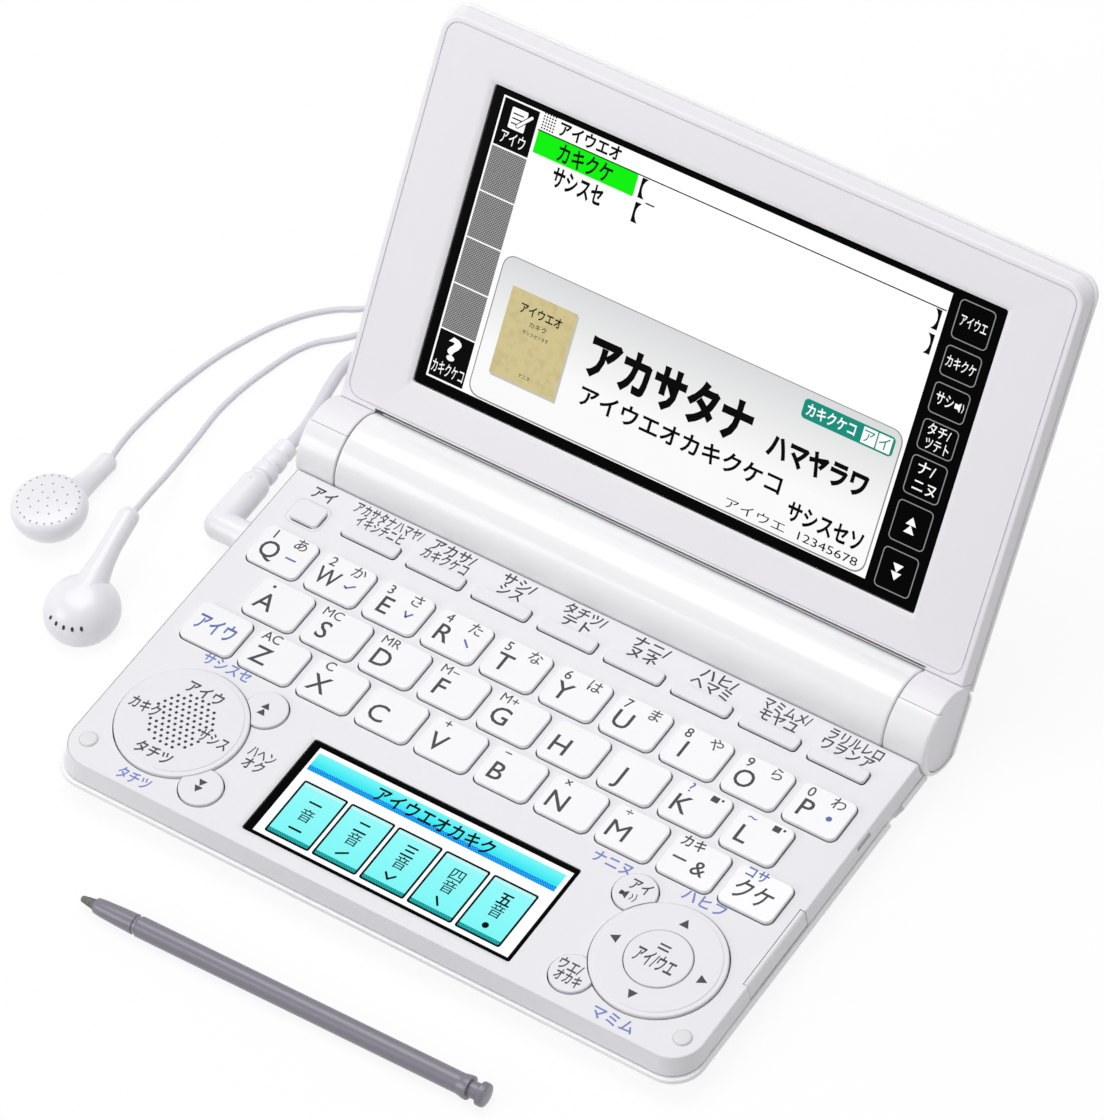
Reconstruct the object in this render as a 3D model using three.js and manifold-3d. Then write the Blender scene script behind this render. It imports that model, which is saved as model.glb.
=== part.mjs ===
// Clamshell electronic dictionary with its stylus and earphones.
// Millimetres, +X to the right of the keyboard, +Y towards the hinge, +Z up.
// The origin lies on the flat underside, below the middle of the keyboard deck.
import * as THREE from "three";
import { mergeVertices } from "three/addons/utils/BufferGeometryUtils.js";
import Module from "manifold-3d";

const wasm = await Module();
wasm.setup();

// Clearances and cutting
const gap = 0.3; // between two pieces that sit against each other
const overrun = 2; // how far a cutter reaches past what it cuts
const weldDistance = 1e-4; // vertices closer than this are one
const turn = 2 * Math.PI;
const degree = Math.PI / 180;

// Roundness of curves, in segments
const cornerSteps = 3;
const keySteps = 2;
const fineSteps = 48;
const roundSteps = 32;
const smallSteps = 16;

// Base: the deck is the flat top, outlines are given as offsets from its edge
const deck = { width: 145, depth: 83.1, top: 10.3, thickness: 1.7, corner: 6.5, chamfer: 0.4 };
const deckHalfX = deck.width / 2;
const deckHalfY = deck.depth / 2;
const deckUnder = deck.top - deck.thickness;
const wall = { thickness: 1.4, height: 4, flareLateral: 0.4, flareFront: 1.2 };
const seamTop = deck.top - wall.height;
const seamBottom = seamTop - gap;
const rim = { lateral: 0.8, front: 0.9, drop: 0.8, edge: 0.2, inset: 0.5 };
const floorPlate = {
  thickness: 1.5,
  insetLateral: 3.2,
  insetFront: 3,
  turnHeight: 1.6,
  turnInset: 0.7,
};

// Hinge: the barrel of the base lies between two knuckles of the lid
const hinge = {
  height: 10,
  setBack: 9.4,
  radius: 9.3,
  runningGap: 0.35,
  knuckleRoom: 8.6,
  caseReach: 3,
  endWall: 9.4,
};
const hingeY = deckHalfY + hinge.setBack;
const caseRear = deckHalfY + hinge.caseReach;
const clearRadius = hinge.radius + hinge.runningGap;
const barrelHalf = deckHalfX - hinge.knuckleRoom;
const shaft = { radius: 2.5, inward: 7.4, outward: 7.5 };
const shaftInner = barrelHalf - shaft.inward;
const shaftOuter = barrelHalf + shaft.outward;
const boreEnd = barrelHalf - hinge.endWall;

// AA cells in the barrel
const cell = {
  radius: 7.1,
  slack: 0.4,
  nub: 1.3,
  nubRadius: 2.7,
  between: 0.8,
  shoulder: 0.6,
  springRoom: 3.6,
};
const cellBody = boreEnd - cell.springRoom - cell.between / 2 - cell.nub;
const bayRadius = cell.radius + cell.slack;
const coverEdges = { low: -75 * degree, high: 15 * degree, clearance: 2 * degree };
const batteryCover = { fromBarrelEnd: 10.9 };
const batteryCoverHalf = barrelHalf - batteryCover.fromBarrelEnd;

// Lid, in its own frame: x, then v away from the hinge axis, then w towards the user
const lid = {
  openElevation: 56 * degree,
  overhang: 0.1,
  faceBelowAxis: 1.5,
  wallHeight: 3.2,
  flareLateral: 0.5,
  flareTop: 1.4,
  corner: 4.5,
  plate: 1.3,
  wall: 1.3,
  heel: 8,
  heelInner: 11,
};
const lidHalfX = deckHalfX + lid.overhang;
const lidFace = -lid.faceBelowAxis;
const lidTop = hingeY + deckHalfY;
const lidSpan = lidTop - lid.heel;
const lidSeam = lidFace - lid.wallHeight;
const cover = { thickness: 1, lateral: 0.45, top: 0.6, drop: 0.3, inset: 0.9, heel: 7.8 };
const coverFront = lidSeam - gap;
const coverBack = coverFront - cover.thickness;
const knuckle = { overhang: 0.7, splitV: 5.6, splitDepth: 4.5 };
const knuckleInner = barrelHalf + gap;
const knuckleOuter = lidHalfX + knuckle.overhang;
const knuckleSplitW = -knuckle.splitDepth;

// Screen panel in the lid
const screenWidthShare = 0.8;
const screenHeightShare = 0.7515;
const screenCentreShare = 0.5018;
const screen = {
  width: deck.width * screenWidthShare,
  height: lidSpan * screenHeightShare,
  centreV: lid.heel + lidSpan * screenCentreShare,
};
const screenEdge = { recess: 0.8, lip: 1.3, lipDepth: 0.7 };
const panelFront = lidFace - screenEdge.recess;

// Keys. Caps stand proud of the deck, and a flange under the deck holds each one in
const cap = { proud: 0.8, chamfer: 0.4, inset: 0.35, corner: 1.3, flange: 0.4, flangeReach: 0.35 };
const letterShare = { pitchX: 0.09566, width: 0.8652, pitchY: 0.13658, depth: 0.8634, rowY: 0.26173 };
const letterPitch = { x: deck.width * letterShare.pitchX, y: deck.depth * letterShare.pitchY };
const letterKey = {
  width: letterPitch.x * letterShare.width,
  depth: letterPitch.y * letterShare.depth,
  rowY: deck.depth * letterShare.rowY,
};
const letterRows = [
  { names: ["q", "w", "e", "r", "t", "y", "u", "i", "o", "p"] },
  { names: ["a", "s", "d", "f", "g", "h", "j", "k", "l"] },
  { names: ["shift", "z", "x", "c", "v", "b", "n", "m", "symbol", "delete"] },
];
const powerShare = { x: 0.44, y: 0.3929, width: 0.04552, depth: 0.06017 };
const powerKey = {
  x: -deck.width * powerShare.x,
  y: deck.depth * powerShare.y,
  width: deck.width * powerShare.width,
  depth: deck.depth * powerShare.depth,
};
const functionCount = 8;
const functionShare = { pitch: 0.10703, x: 0.03586, y: 0.40012, width: 0.8247, depth: 0.0361 };
const functionPitch = deck.width * functionShare.pitch;
const functionKey = {
  x: deck.width * functionShare.x,
  y: deck.depth * functionShare.y,
  width: functionPitch * functionShare.width,
  depth: deck.depth * functionShare.depth,
};
const functionBar = { depth: 2, thickness: 0.5 };

// Round controls, alike on both sides of the small display
const dialXShare = 0.37897;
const dialYShare = 0.27978;
const dialRadiusShare = 0.16005;
const enterShare = 0.49624;
const cornerShare = { x: 0.92481, y: 0.82707, radius: 0.33083 };
const dial = {
  x: deck.width * dialXShare,
  y: -deck.depth * dialYShare,
  radius: deck.depth * dialRadiusShare,
};
const enterRadius = dial.radius * enterShare;
const cornerKey = {
  radius: dial.radius * cornerShare.radius,
  x: dial.x - dial.radius * cornerShare.x,
  y: dial.radius * cornerShare.y,
};
const proud = { dial: 0.7, enter: 0.9, corner: 0.5 };

// Small handwriting display
const padShare = { width: 0.42069, depth: 0.29483, y: 0.30265 };
const pad = {
  width: deck.width * padShare.width,
  depth: deck.depth * padShare.depth,
  y: -deck.depth * padShare.y,
};
const padEdge = { recess: 0.4, lip: 1.1, thickness: 1.6 };

// Card cover on the right wall
const cardShare = { y: 0.11372, length: 0.24067, socket: 0.75, slot: 0.6 };
const cardCover = { y: -deck.depth * cardShare.y, length: deck.depth * cardShare.length };
const cardEdge = { deckStrip: 1.1, bottom: 6.6, wall: 1.2 };
// Strap loop and slot on the right wall
const rearInset = { strap: 11.45, slot: 20.35, jack: 16.3 };
const strapNotch = { y: deckHalfY - rearInset.strap, width: 3.4, depth: 2.2 };
const sideSlot = { y: deckHalfY - rearInset.slot, length: 4.4, height: 1, depth: 0.5, z: 8.9 };

// Main board with the jack and card sockets soldered to it
const boardInset = { left: 16.5, right: 2.5, front: 3.55, back: 4.55 };
const board = {
  left: boardInset.left - deckHalfX,
  right: deckHalfX - boardInset.right,
  front: boardInset.front - deckHalfY,
  back: deckHalfY - boardInset.back,
  z: 4.3,
  thickness: 1.2,
};
const bossShare = { x: 0.5931, y: 0.7942 };
const boss = { x: deckHalfX * bossShare.x, y: deckHalfY * bossShare.y, radius: 2.5 };
const jack = {
  y: deckHalfY - rearInset.jack,
  z: 4.4,
  width: 6.8,
  top: 6.75,
  bottom: 1.8,
  depth: 12,
  bodyLength: 16.6,
  inset: 2.2,
};
const jackOuter = jack.inset - deckHalfX;
const plugPin = { radius: 1.75, length: 11.5, tip: 0.8 };
const jackBore = plugPin.radius + gap;
const cardSocket = {
  length: cardCover.length * cardShare.socket,
  slotLength: cardCover.length * cardShare.slot,
  depth: 14,
  height: 1.3,
  slot: 0.7,
};
const speaker = { radius: 9, rim: 7, height: 2.2, step: 0.6 };

// Stylus: measured from its tip, and the flare, neck and head from its far end
const stylus = {
  length: 92.3,
  radius: 2.15,
  tip: 0.5,
  cone: 4.5,
  coneRadius: 1.75,
  groove: 12.6,
  grooveWidth: 0.9,
  grooveDepth: 0.25,
  flareRadius: 3.05,
  neckRadius: 2.3,
  flare: 4.8,
  neck: 1.6,
  head: 1.7,
  fromLeft: 21.3,
  ahead: 21.5,
  contactGap: 0.05,
  heading: 1.1 * degree,
};

// Earphones
const plug = {
  radius: 3.2,
  reach: 8.3,
  tail: 17.5,
  rear: 3.6,
  collar: 2.6,
  reliefRadius: 2.6,
  reliefLength: 10,
  ribDepth: 0.35,
  bend: 2,
};
const ribCount = 3;
const ribRampShare = 0.25;
const plugX = -deckHalfX - plug.reach;
const twin = { diameter: 2.6, sides: 8, floorGap: 0.05 };
const lead = { diameter: 1.3, sides: 8, step: 5.2 };
const bud = { radius: 7.6, height: 8.8, stemRadius: 2.2, stemLength: 19, stemAt: 2.3, stemBack: 2 };
// Height and radius of the dome as shares of the bud's own, from its back to its face
const domeShares = [
  [0, 0],
  [0, 0.34],
  [0.16, 0.68],
  [0.42, 0.9],
  [0.7, 1],
  [0.8, 0.985],
  [0.9, 0.87],
  [0.97, 0.53],
  [1, 0],
];
const stemTipShare = { length: 0.3333, radius: 0.6667 };
const standShare = 0.53;
const splitter = { length: 11, width: 5.4, height: 3.2 };

// Coil of the twin cord behind the lid: wound in on the floor, climbing, wound out on top
const coil = {
  x: -50,
  y: 90.5,
  outerRadius: 20,
  pitch: 3.5,
  rise: 3.1,
  turnsIn: 4,
  turnsOut: 3.53,
  stepsPerTurn: 24,
  startAngle: -90 * degree,
  checkReach: 5.2,
  leadIn: 2.6,
  exitRun: 26,
  exitLevel: 9,
  exitDrop: 13,
  sides: 6,
};

// Solids

function solidOf(geometry) {
  const flat = geometry.index ? geometry.toNonIndexed() : geometry;
  const bare = new THREE.BufferGeometry().setAttribute("position", flat.getAttribute("position"));
  const merged = mergeVertices(bare, weldDistance);
  return new wasm.Manifold(
    new wasm.Mesh({
      numProp: 3,
      vertProperties: merged.attributes.position.array,
      triVerts: new Uint32Array(merged.index.array),
    }),
  );
}

function geometryOf(solid) {
  const mesh = solid.getMesh();
  const positions = new Float32Array(mesh.numVert * 3);
  for (let i = 0; i < mesh.numVert; i++) {
    positions.set(mesh.vertProperties.subarray(i * mesh.numProp, i * mesh.numProp + 3), i * 3);
  }
  return new THREE.BufferGeometry()
    .setAttribute("position", new THREE.BufferAttribute(positions, 3))
    .setIndex(new THREE.BufferAttribute(mesh.triVerts, 1));
}

const joined = (solids) => solids.reduce((all, one) => all.add(one));
const without = (body, cutters) => cutters.reduce((rest, cutter) => rest.subtract(cutter), body);

// A rectangle with rounded corners, anticlockwise seen from above, corner by corner
function roundedOutline(x0, x1, y0, y1, frontRadius, backRadius = frontRadius, steps = cornerSteps) {
  const corners = [
    [x1 - frontRadius, y0 + frontRadius, frontRadius, -turn / 4],
    [x1 - backRadius, y1 - backRadius, backRadius, 0],
    [x0 + backRadius, y1 - backRadius, backRadius, turn / 4],
    [x0 + frontRadius, y0 + frontRadius, frontRadius, turn / 2],
  ];
  return corners.flatMap(([x, y, radius, start]) =>
    Array.from({ length: steps + 1 }, (_, i) => {
      const angle = start + (i / steps) * (turn / 4);
      return [x + radius * Math.cos(angle), y + radius * Math.sin(angle)];
    }),
  );
}

// A closed skin over a stack of outlines with equal point counts, capped at both ends
function loft(levels) {
  const count = levels[0].outline.length;
  const positions = levels.flatMap(({ outline, z }) => outline.flatMap(([x, y]) => [x, y, z]));
  const index = [];
  for (let i = 1; i < count - 1; i++) {
    index.push(0, i + 1, i);
    const last = (levels.length - 1) * count;
    index.push(last, last + i, last + i + 1);
  }
  for (let level = 0; level < levels.length - 1; level++) {
    for (let i = 0; i < count; i++) {
      const a = level * count + i;
      const b = level * count + ((i + 1) % count);
      index.push(a, b, b + count, a, b + count, a + count);
    }
  }
  return new THREE.BufferGeometry()
    .setAttribute("position", new THREE.BufferAttribute(new Float32Array(positions), 3))
    .setIndex(index);
}

// A tube of given radius along points, with square ends
function tubeAlong(points, radius, sides) {
  const frames = framesAlong(points);
  const rings = points.map((point, k) =>
    Array.from({ length: sides }, (_, i) => {
      const angle = ((i + 0.5) / sides) * turn;
      return point
        .clone()
        .addScaledVector(frames[k].across, radius * Math.cos(angle))
        .addScaledVector(frames[k].upward, radius * Math.sin(angle));
    }),
  );
  const positions = rings.flat().flatMap((p) => [p.x, p.y, p.z]);
  const index = [];
  for (let i = 1; i < sides - 1; i++) {
    index.push(0, i + 1, i);
    const last = (rings.length - 1) * sides;
    index.push(last, last + i, last + i + 1);
  }
  for (let k = 0; k < rings.length - 1; k++) {
    for (let i = 0; i < sides; i++) {
      const a = k * sides + i;
      const b = k * sides + ((i + 1) % sides);
      index.push(a, b, b + sides, a, b + sides, a + sides);
    }
  }
  return new THREE.BufferGeometry()
    .setAttribute("position", new THREE.BufferAttribute(new Float32Array(positions), 3))
    .setIndex(index);
}

// At each point: the tangent, a level direction across it and the one above both
function framesAlong(points) {
  return points.map((_, k) => {
    const before = points[Math.max(k - 1, 0)];
    const after = points[Math.min(k + 1, points.length - 1)];
    const tangent = after.clone().sub(before).normalize();
    const across = new THREE.Vector3(0, 0, 1).cross(tangent).normalize();
    return { tangent, across, upward: tangent.clone().cross(across) };
  });
}

// A block between two corners
function block(x0, x1, y0, y1, z0, z1) {
  const box = new THREE.BoxGeometry(x1 - x0, y1 - y0, z1 - z0);
  box.translate((x0 + x1) / 2, (y0 + y1) / 2, (z0 + z1) / 2);
  return solidOf(box);
}

// A cylinder along X about the point (y, z)
function rodX(radius, x0, x1, y = 0, z = 0, steps = fineSteps) {
  const rod = new THREE.CylinderGeometry(radius, radius, x1 - x0, steps);
  rod.rotateZ(turn / 4).translate((x0 + x1) / 2, y, z);
  return solidOf(rod);
}

// A cylinder along Z about the point (x, y)
function rodZ(radius, z0, z1, x, y, steps = roundSteps) {
  const rod = new THREE.CylinderGeometry(radius, radius, z1 - z0, steps);
  rod.rotateX(turn / 4).translate(x, y, (z0 + z1) / 2);
  return solidOf(rod);
}

// A turned piece along X from [distance, radius] pairs that start and end on the axis
function turnedX(profile, steps = roundSteps) {
  const points = profile.map(([along, radius]) => new THREE.Vector2(radius, along));
  return new THREE.LatheGeometry(points, steps).rotateZ(-turn / 4);
}

// A turned piece about Z from [height, radius] pairs that start and end on the axis
function turnedZ(profile, steps = roundSteps) {
  const points = profile.map(([height, radius]) => new THREE.Vector2(radius, height));
  return new THREE.LatheGeometry(points, steps).rotateX(turn / 4);
}

// A slice of a ring about the X axis, between two radii and two angles from +Y towards +Z
function ringSlice(inner, outer, low, high, x0, x1) {
  const shape = new THREE.Shape();
  shape.absarc(0, 0, outer, low, high, false);
  shape.absarc(0, 0, inner, high, low, true);
  const slice = new THREE.ExtrudeGeometry(shape, {
    depth: x1 - x0,
    bevelEnabled: false,
    curveSegments: smallSteps,
  });
  return solidOf(slice.rotateX(turn / 4).rotateZ(turn / 4).translate(x0, 0, 0));
}

// Materials

const plastic = (color, roughness) =>
  new THREE.MeshStandardMaterial({ color, roughness, metalness: 0 });
const glossWhite = plastic(0xf2f1f4, 0.22);
const satinGrey = plastic(0xe4e3e8, 0.45);
const keyWhite = plastic(0xf8f8fa, 0.25);
const blackGlass = plastic(0x0a0a0c, 0.08);
const cordWhite = plastic(0xe6e4ea, 0.5);
const darkGrey = plastic(0x7e7c80, 0.4);
const boardGreen = plastic(0x2f6b46, 0.6);
const cellSleeve = plastic(0x3f6f9f, 0.35);
const steel = new THREE.MeshStandardMaterial({ color: 0xb8bac0, roughness: 0.3, metalness: 1 });

const dictionary = new THREE.Group();
const lidGroup = new THREE.Group();
lidGroup.position.set(0, hingeY, hinge.height);
lidGroup.rotation.x = lid.openElevation;
dictionary.add(lidGroup);

function place(name, geometry, material, parent = dictionary) {
  const mesh = new THREE.Mesh(geometry, material);
  mesh.name = name;
  parent.add(mesh);
  return mesh;
}

// Base outlines, as offsets outwards from the deck's edge

function baseOutline(side, front, corner) {
  return roundedOutline(
    -deckHalfX - side,
    deckHalfX + side,
    -deckHalfY - front,
    caseRear,
    corner,
    gap,
  );
}

const hingeClearance = rodX(
  clearRadius,
  -deckHalfX - overrun,
  deckHalfX + overrun,
  hingeY,
  hinge.height,
);

const plugHole = rodX(
  plug.collar + gap,
  -deckHalfX - overrun,
  jackOuter + gap,
  jack.y,
  jack.z,
  smallSteps,
);

function dialCircle(side, radius, z0, z1) {
  return rodZ(radius, z0, z1, side * dial.x, dial.y);
}

// Lower case: a dish with a rim that stands out round the base

function lowerCase() {
  const rimSide = wall.flareLateral + rim.lateral;
  const rimFront = wall.flareFront + rim.front;
  const rimWidest = seamBottom - rim.drop;
  const shell = loft([
    {
      outline: baseOutline(-floorPlate.insetLateral, -floorPlate.insetFront, deck.corner),
      z: 0,
    },
    { outline: baseOutline(-floorPlate.turnInset, 0, deck.corner), z: floorPlate.turnHeight },
    { outline: baseOutline(rimSide, rimFront, deck.corner), z: rimWidest },
    { outline: baseOutline(rimSide - rim.edge, rimFront - rim.edge, deck.corner), z: seamBottom - rim.edge },
    { outline: baseOutline(rimSide - rim.inset, rimFront - rim.inset, deck.corner), z: seamBottom },
    {
      outline: baseOutline(rimSide - rim.inset - wall.thickness, -wall.thickness + wall.flareFront, deck.corner),
      z: seamBottom,
    },
    {
      outline: baseOutline(
        -floorPlate.turnInset - wall.thickness,
        -wall.thickness,
        deck.corner - wall.thickness,
      ),
      z: floorPlate.thickness,
    },
  ]);
  const bosses = [-1, 1].flatMap((x) =>
    [-1, 1].map((y) =>
      rodZ(
        boss.radius,
        floorPlate.thickness / 2,
        board.z - gap,
        x * boss.x,
        y * boss.y,
        smallSteps,
      ),
    ),
  );
  const notch = block(
    deckHalfX + rimSide - strapNotch.depth,
    deckHalfX + rimSide + overrun,
    strapNotch.y - strapNotch.width / 2,
    strapNotch.y + strapNotch.width / 2,
    floorPlate.turnHeight,
    seamTop,
  );
  return without(joined([solidOf(shell), ...bosses]), [hingeClearance, plugHole, notch]);
}

// Upper case: the deck with slanted walls, open below

function upperCase() {
  const shell = loft([
    { outline: baseOutline(-wall.thickness, -wall.thickness, deck.corner - wall.thickness), z: deckUnder },
    {
      outline: baseOutline(
        wall.flareLateral - wall.thickness,
        wall.flareFront - wall.thickness,
        deck.corner - wall.thickness,
      ),
      z: seamTop,
    },
    { outline: baseOutline(wall.flareLateral, wall.flareFront, deck.corner), z: seamTop },
    { outline: baseOutline(0, 0, deck.corner), z: deck.top - deck.chamfer },
    { outline: baseOutline(-deck.chamfer, -deck.chamfer, deck.corner), z: deck.top },
  ]);
  return without(solidOf(shell), [
    hingeClearance,
    plugHole,
    ...keyPlaces().map(keyHole),
    powerHole(),
    ...functionPlaces().map((x) => functionHole(x)),
    dialHole(-1),
    dialHole(1),
    padHole(),
    cardHole(),
    slotHole(),
  ]);
}

// Keys

function keyPlaces() {
  return letterRows.flatMap(({ names }, row) =>
    names.map((name, i) => ({
      name: "key_" + name,
      x: (i - (names.length - 1) / 2) * letterPitch.x,
      y: letterKey.rowY - row * letterPitch.y,
    })),
  );
}

function functionPlaces() {
  return Array.from(
    { length: functionCount },
    (_, i) => functionKey.x + (i - (functionCount - 1) / 2) * functionPitch,
  );
}

function rectangleAt(x, y, width, depth, corner) {
  const [halfX, halfY] = [width / 2, depth / 2];
  return roundedOutline(x - halfX, x + halfX, y - halfY, y + halfY, corner, corner, keySteps);
}

function holeThroughDeck(x, y, width, depth) {
  const outline = rectangleAt(x, y, width + 2 * gap, depth + 2 * gap, cap.corner);
  return solidOf(
    loft([
      { outline, z: deckUnder - overrun },
      { outline, z: deck.top + overrun },
    ]),
  );
}

const keyHole = ({ x, y }) => holeThroughDeck(x, y, letterKey.width, letterKey.depth);
const powerHole = () => holeThroughDeck(powerKey.x, powerKey.y, powerKey.width, powerKey.depth);
const functionHole = (x) =>
  holeThroughDeck(x, functionKey.y, functionKey.width, functionKey.depth);

// A cap with a chamfered top, and a wider flange below the deck where flange is true
function keyCap(x, y, width, depth, flange = true) {
  const flangeTop = deckUnder - gap;
  const flangeBottom = flangeTop - cap.flange;
  const wide = rectangleAt(x, y, width + 2 * cap.flangeReach, depth + 2 * cap.flangeReach, cap.corner);
  const full = rectangleAt(x, y, width, depth, cap.corner);
  const top = deck.top + cap.proud;
  const inner = rectangleAt(x, y, width - 2 * cap.inset, depth - 2 * cap.inset, cap.corner);
  const stem = [
    { outline: full, z: flange ? flangeTop : flangeBottom },
    { outline: full, z: top - cap.chamfer },
    { outline: inner, z: top },
  ];
  const base = [
    { outline: wide, z: flangeBottom },
    { outline: wide, z: flangeTop },
  ];
  return loft(flange ? [...base, ...stem] : stem);
}

// Eight slim keys moulded as one comb, on a bar under the deck
function functionStrip() {
  const places = functionPlaces();
  const barTop = deckUnder - gap;
  const bar = block(
    places[0],
    places[places.length - 1],
    functionKey.y - functionBar.depth / 2,
    functionKey.y + functionBar.depth / 2,
    barTop - functionBar.thickness,
    barTop,
  );
  const caps = places.map((x) =>
    solidOf(keyCap(x, functionKey.y, functionKey.width, functionKey.depth, false)),
  );
  return joined([bar, ...caps]);
}

// Round controls

const dialBottom = deckUnder - gap;

function dialHole(side) {
  const round = dialCircle(side, dial.radius + gap, deckUnder - overrun, deck.top + overrun);
  const corners = [-1, 1].map((end) =>
    rodZ(
      cornerKey.radius + gap,
      deckUnder - overrun,
      deck.top + overrun,
      side * cornerKey.x,
      dial.y + end * cornerKey.y,
      roundSteps,
    ),
  );
  return joined([round, ...corners]);
}

function rocker() {
  const top = deck.top + proud.dial;
  return turnedZ([
    [dialBottom, 0],
    [dialBottom, dial.radius],
    [top - cap.chamfer, dial.radius],
    [top, dial.radius - cap.chamfer],
    [top, 0],
  ]).translate(-dial.x, dial.y, 0);
}

function navigationRing() {
  const top = deck.top + proud.dial;
  const inner = enterRadius + gap;
  return turnedZ([
    [dialBottom, inner],
    [dialBottom, dial.radius],
    [top - cap.chamfer, dial.radius],
    [top, dial.radius - cap.chamfer],
    [top, inner],
    [dialBottom, inner],
  ]).translate(dial.x, dial.y, 0);
}

function enterCap() {
  const top = deck.top + proud.enter;
  return turnedZ([
    [dialBottom, 0],
    [dialBottom, enterRadius],
    [top - cap.chamfer, enterRadius],
    [top, enterRadius - cap.chamfer],
    [top, 0],
  ]).translate(dial.x, dial.y, 0);
}

// A round key whose edge is cut away under the dial
function tuckedKey(side, end) {
  const top = deck.top + proud.corner;
  const round = turnedZ([
    [dialBottom, 0],
    [dialBottom, cornerKey.radius],
    [top - cap.chamfer, cornerKey.radius],
    [top, cornerKey.radius - cap.chamfer],
    [top, 0],
  ]).translate(side * cornerKey.x, dial.y + end * cornerKey.y, 0);
  const bite = dialCircle(side, dial.radius + gap, dialBottom - overrun, top + overrun);
  return solidOf(round).subtract(bite);
}

// Small display, sunk in a bevelled opening of the deck

function padHole() {
  const opening = rectangleAt(0, pad.y, pad.width + 2 * gap, pad.depth + 2 * gap, gap);
  const wide = padEdge.lip + gap;
  const mouth = rectangleAt(0, pad.y, pad.width + 2 * wide, pad.depth + 2 * wide, padEdge.lip);
  return solidOf(
    loft([
      { outline: opening, z: deckUnder - overrun },
      { outline: opening, z: deck.top - padEdge.recess },
      { outline: mouth, z: deck.top },
      { outline: mouth, z: deck.top + overrun },
    ]),
  );
}

function padPanel() {
  const top = deck.top - padEdge.recess;
  const half = pad.depth / 2;
  return block(-pad.width / 2, pad.width / 2, pad.y - half, pad.y + half, top - padEdge.thickness, top);
}

// Card cover: part of the deck's edge and wall, hinged along its lower edge

const coverInner = deckHalfX - cardEdge.deckStrip;

function cardHole() {
  const half = cardCover.length / 2 + gap;
  return block(
    coverInner - gap,
    deckHalfX + overrun,
    cardCover.y - half,
    cardCover.y + half,
    seamTop - overrun,
    deck.top + overrun,
  );
}

function cardFlap() {
  const flareAtBottom = (wall.flareLateral * (deck.top - cardEdge.bottom)) / wall.height;
  const section = new THREE.Shape();
  section.moveTo(coverInner, deck.top);
  section.lineTo(coverInner, deckUnder);
  section.lineTo(deckHalfX - cardEdge.wall, cardEdge.bottom);
  section.lineTo(deckHalfX + flareAtBottom, cardEdge.bottom);
  section.lineTo(deckHalfX, deck.top - deck.chamfer);
  section.lineTo(deckHalfX - deck.chamfer, deck.top);
  const flap = new THREE.ExtrudeGeometry(section, { depth: cardCover.length, bevelEnabled: false });
  return flap.rotateX(turn / 4).translate(0, cardCover.y + cardCover.length / 2, 0);
}

function slotHole() {
  return block(
    deckHalfX - sideSlot.depth,
    deckHalfX + overrun,
    sideSlot.y - sideSlot.length / 2,
    sideSlot.y + sideSlot.length / 2,
    sideSlot.z - sideSlot.height / 2,
    sideSlot.z + sideSlot.height / 2,
  );
}

// Hinge barrel with the battery bay, open to the rear below

function barrel() {
  const body = rodX(hinge.radius, -barrelHalf, barrelHalf);
  const bay = rodX(bayRadius, -boreEnd, boreEnd);
  const shaftHole = rodX(
    shaft.radius + gap,
    -barrelHalf - overrun,
    barrelHalf + overrun,
    0,
    0,
    smallSteps,
  );
  const opening = ringSlice(
    cell.radius,
    hinge.radius + overrun,
    coverEdges.low - coverEdges.clearance,
    coverEdges.high + coverEdges.clearance,
    -batteryCoverHalf - gap,
    batteryCoverHalf + gap,
  );
  return geometryOf(without(body, [bay, shaftHole, opening])).translate(0, hingeY, hinge.height);
}

function batteryDoor() {
  return geometryOf(
    ringSlice(
      bayRadius,
      hinge.radius,
      coverEdges.low,
      coverEdges.high,
      -batteryCoverHalf,
      batteryCoverHalf,
    ),
  ).translate(0, hingeY, hinge.height);
}

function cellGeometry() {
  return turnedX(
    [
      [0, 0],
      [0, cell.radius - cell.shoulder],
      [cell.shoulder, cell.radius],
      [cellBody - cell.shoulder, cell.radius],
      [cellBody, cell.radius - cell.shoulder],
      [cellBody, cell.nubRadius],
      [cellBody + cell.nub, cell.nubRadius],
      [cellBody + cell.nub, 0],
    ],
    smallSteps,
  );
}

// Lid

function lidOutline(side, top, heel, corner) {
  return roundedOutline(-lidHalfX - side, lidHalfX + side, heel, lidTop + top, gap, corner);
}

function knuckleRod(side) {
  const ends = [side * knuckleInner, side * knuckleOuter].sort((a, b) => a - b);
  return rodX(hinge.radius, ends[0], ends[1]);
}

function upperKnuckleZone(side, margin) {
  const ends = [side * (knuckleInner - overrun), side * (knuckleOuter + overrun)];
  ends.sort((a, b) => a - b);
  return block(
    ends[0],
    ends[1],
    knuckle.splitV - margin,
    hinge.radius + overrun,
    knuckleSplitW - margin,
    hinge.radius + overrun,
  );
}

const barrelSweep = rodX(clearRadius, -knuckleInner, knuckleInner);

function shaftSocket(side) {
  const ends = [side * (knuckleInner - overrun), side * (shaftOuter + gap)].sort((a, b) => a - b);
  return rodX(shaft.radius + gap, ends[0], ends[1], 0, 0, smallSteps);
}

function screenHole() {
  const at = (grow, corner) =>
    roundedOutline(
      -screen.width / 2 - grow,
      screen.width / 2 + grow,
      screen.centreV - screen.height / 2 - grow,
      screen.centreV + screen.height / 2 + grow,
      corner,
    );
  return solidOf(
    loft([
      { outline: at(gap, gap), z: lidSeam - overrun },
      { outline: at(gap, gap), z: lidFace - screenEdge.lipDepth },
      { outline: at(gap + screenEdge.lip, screenEdge.lip), z: lidFace },
      { outline: at(gap + screenEdge.lip, screenEdge.lip), z: lidFace + overrun },
    ]),
  );
}

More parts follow.
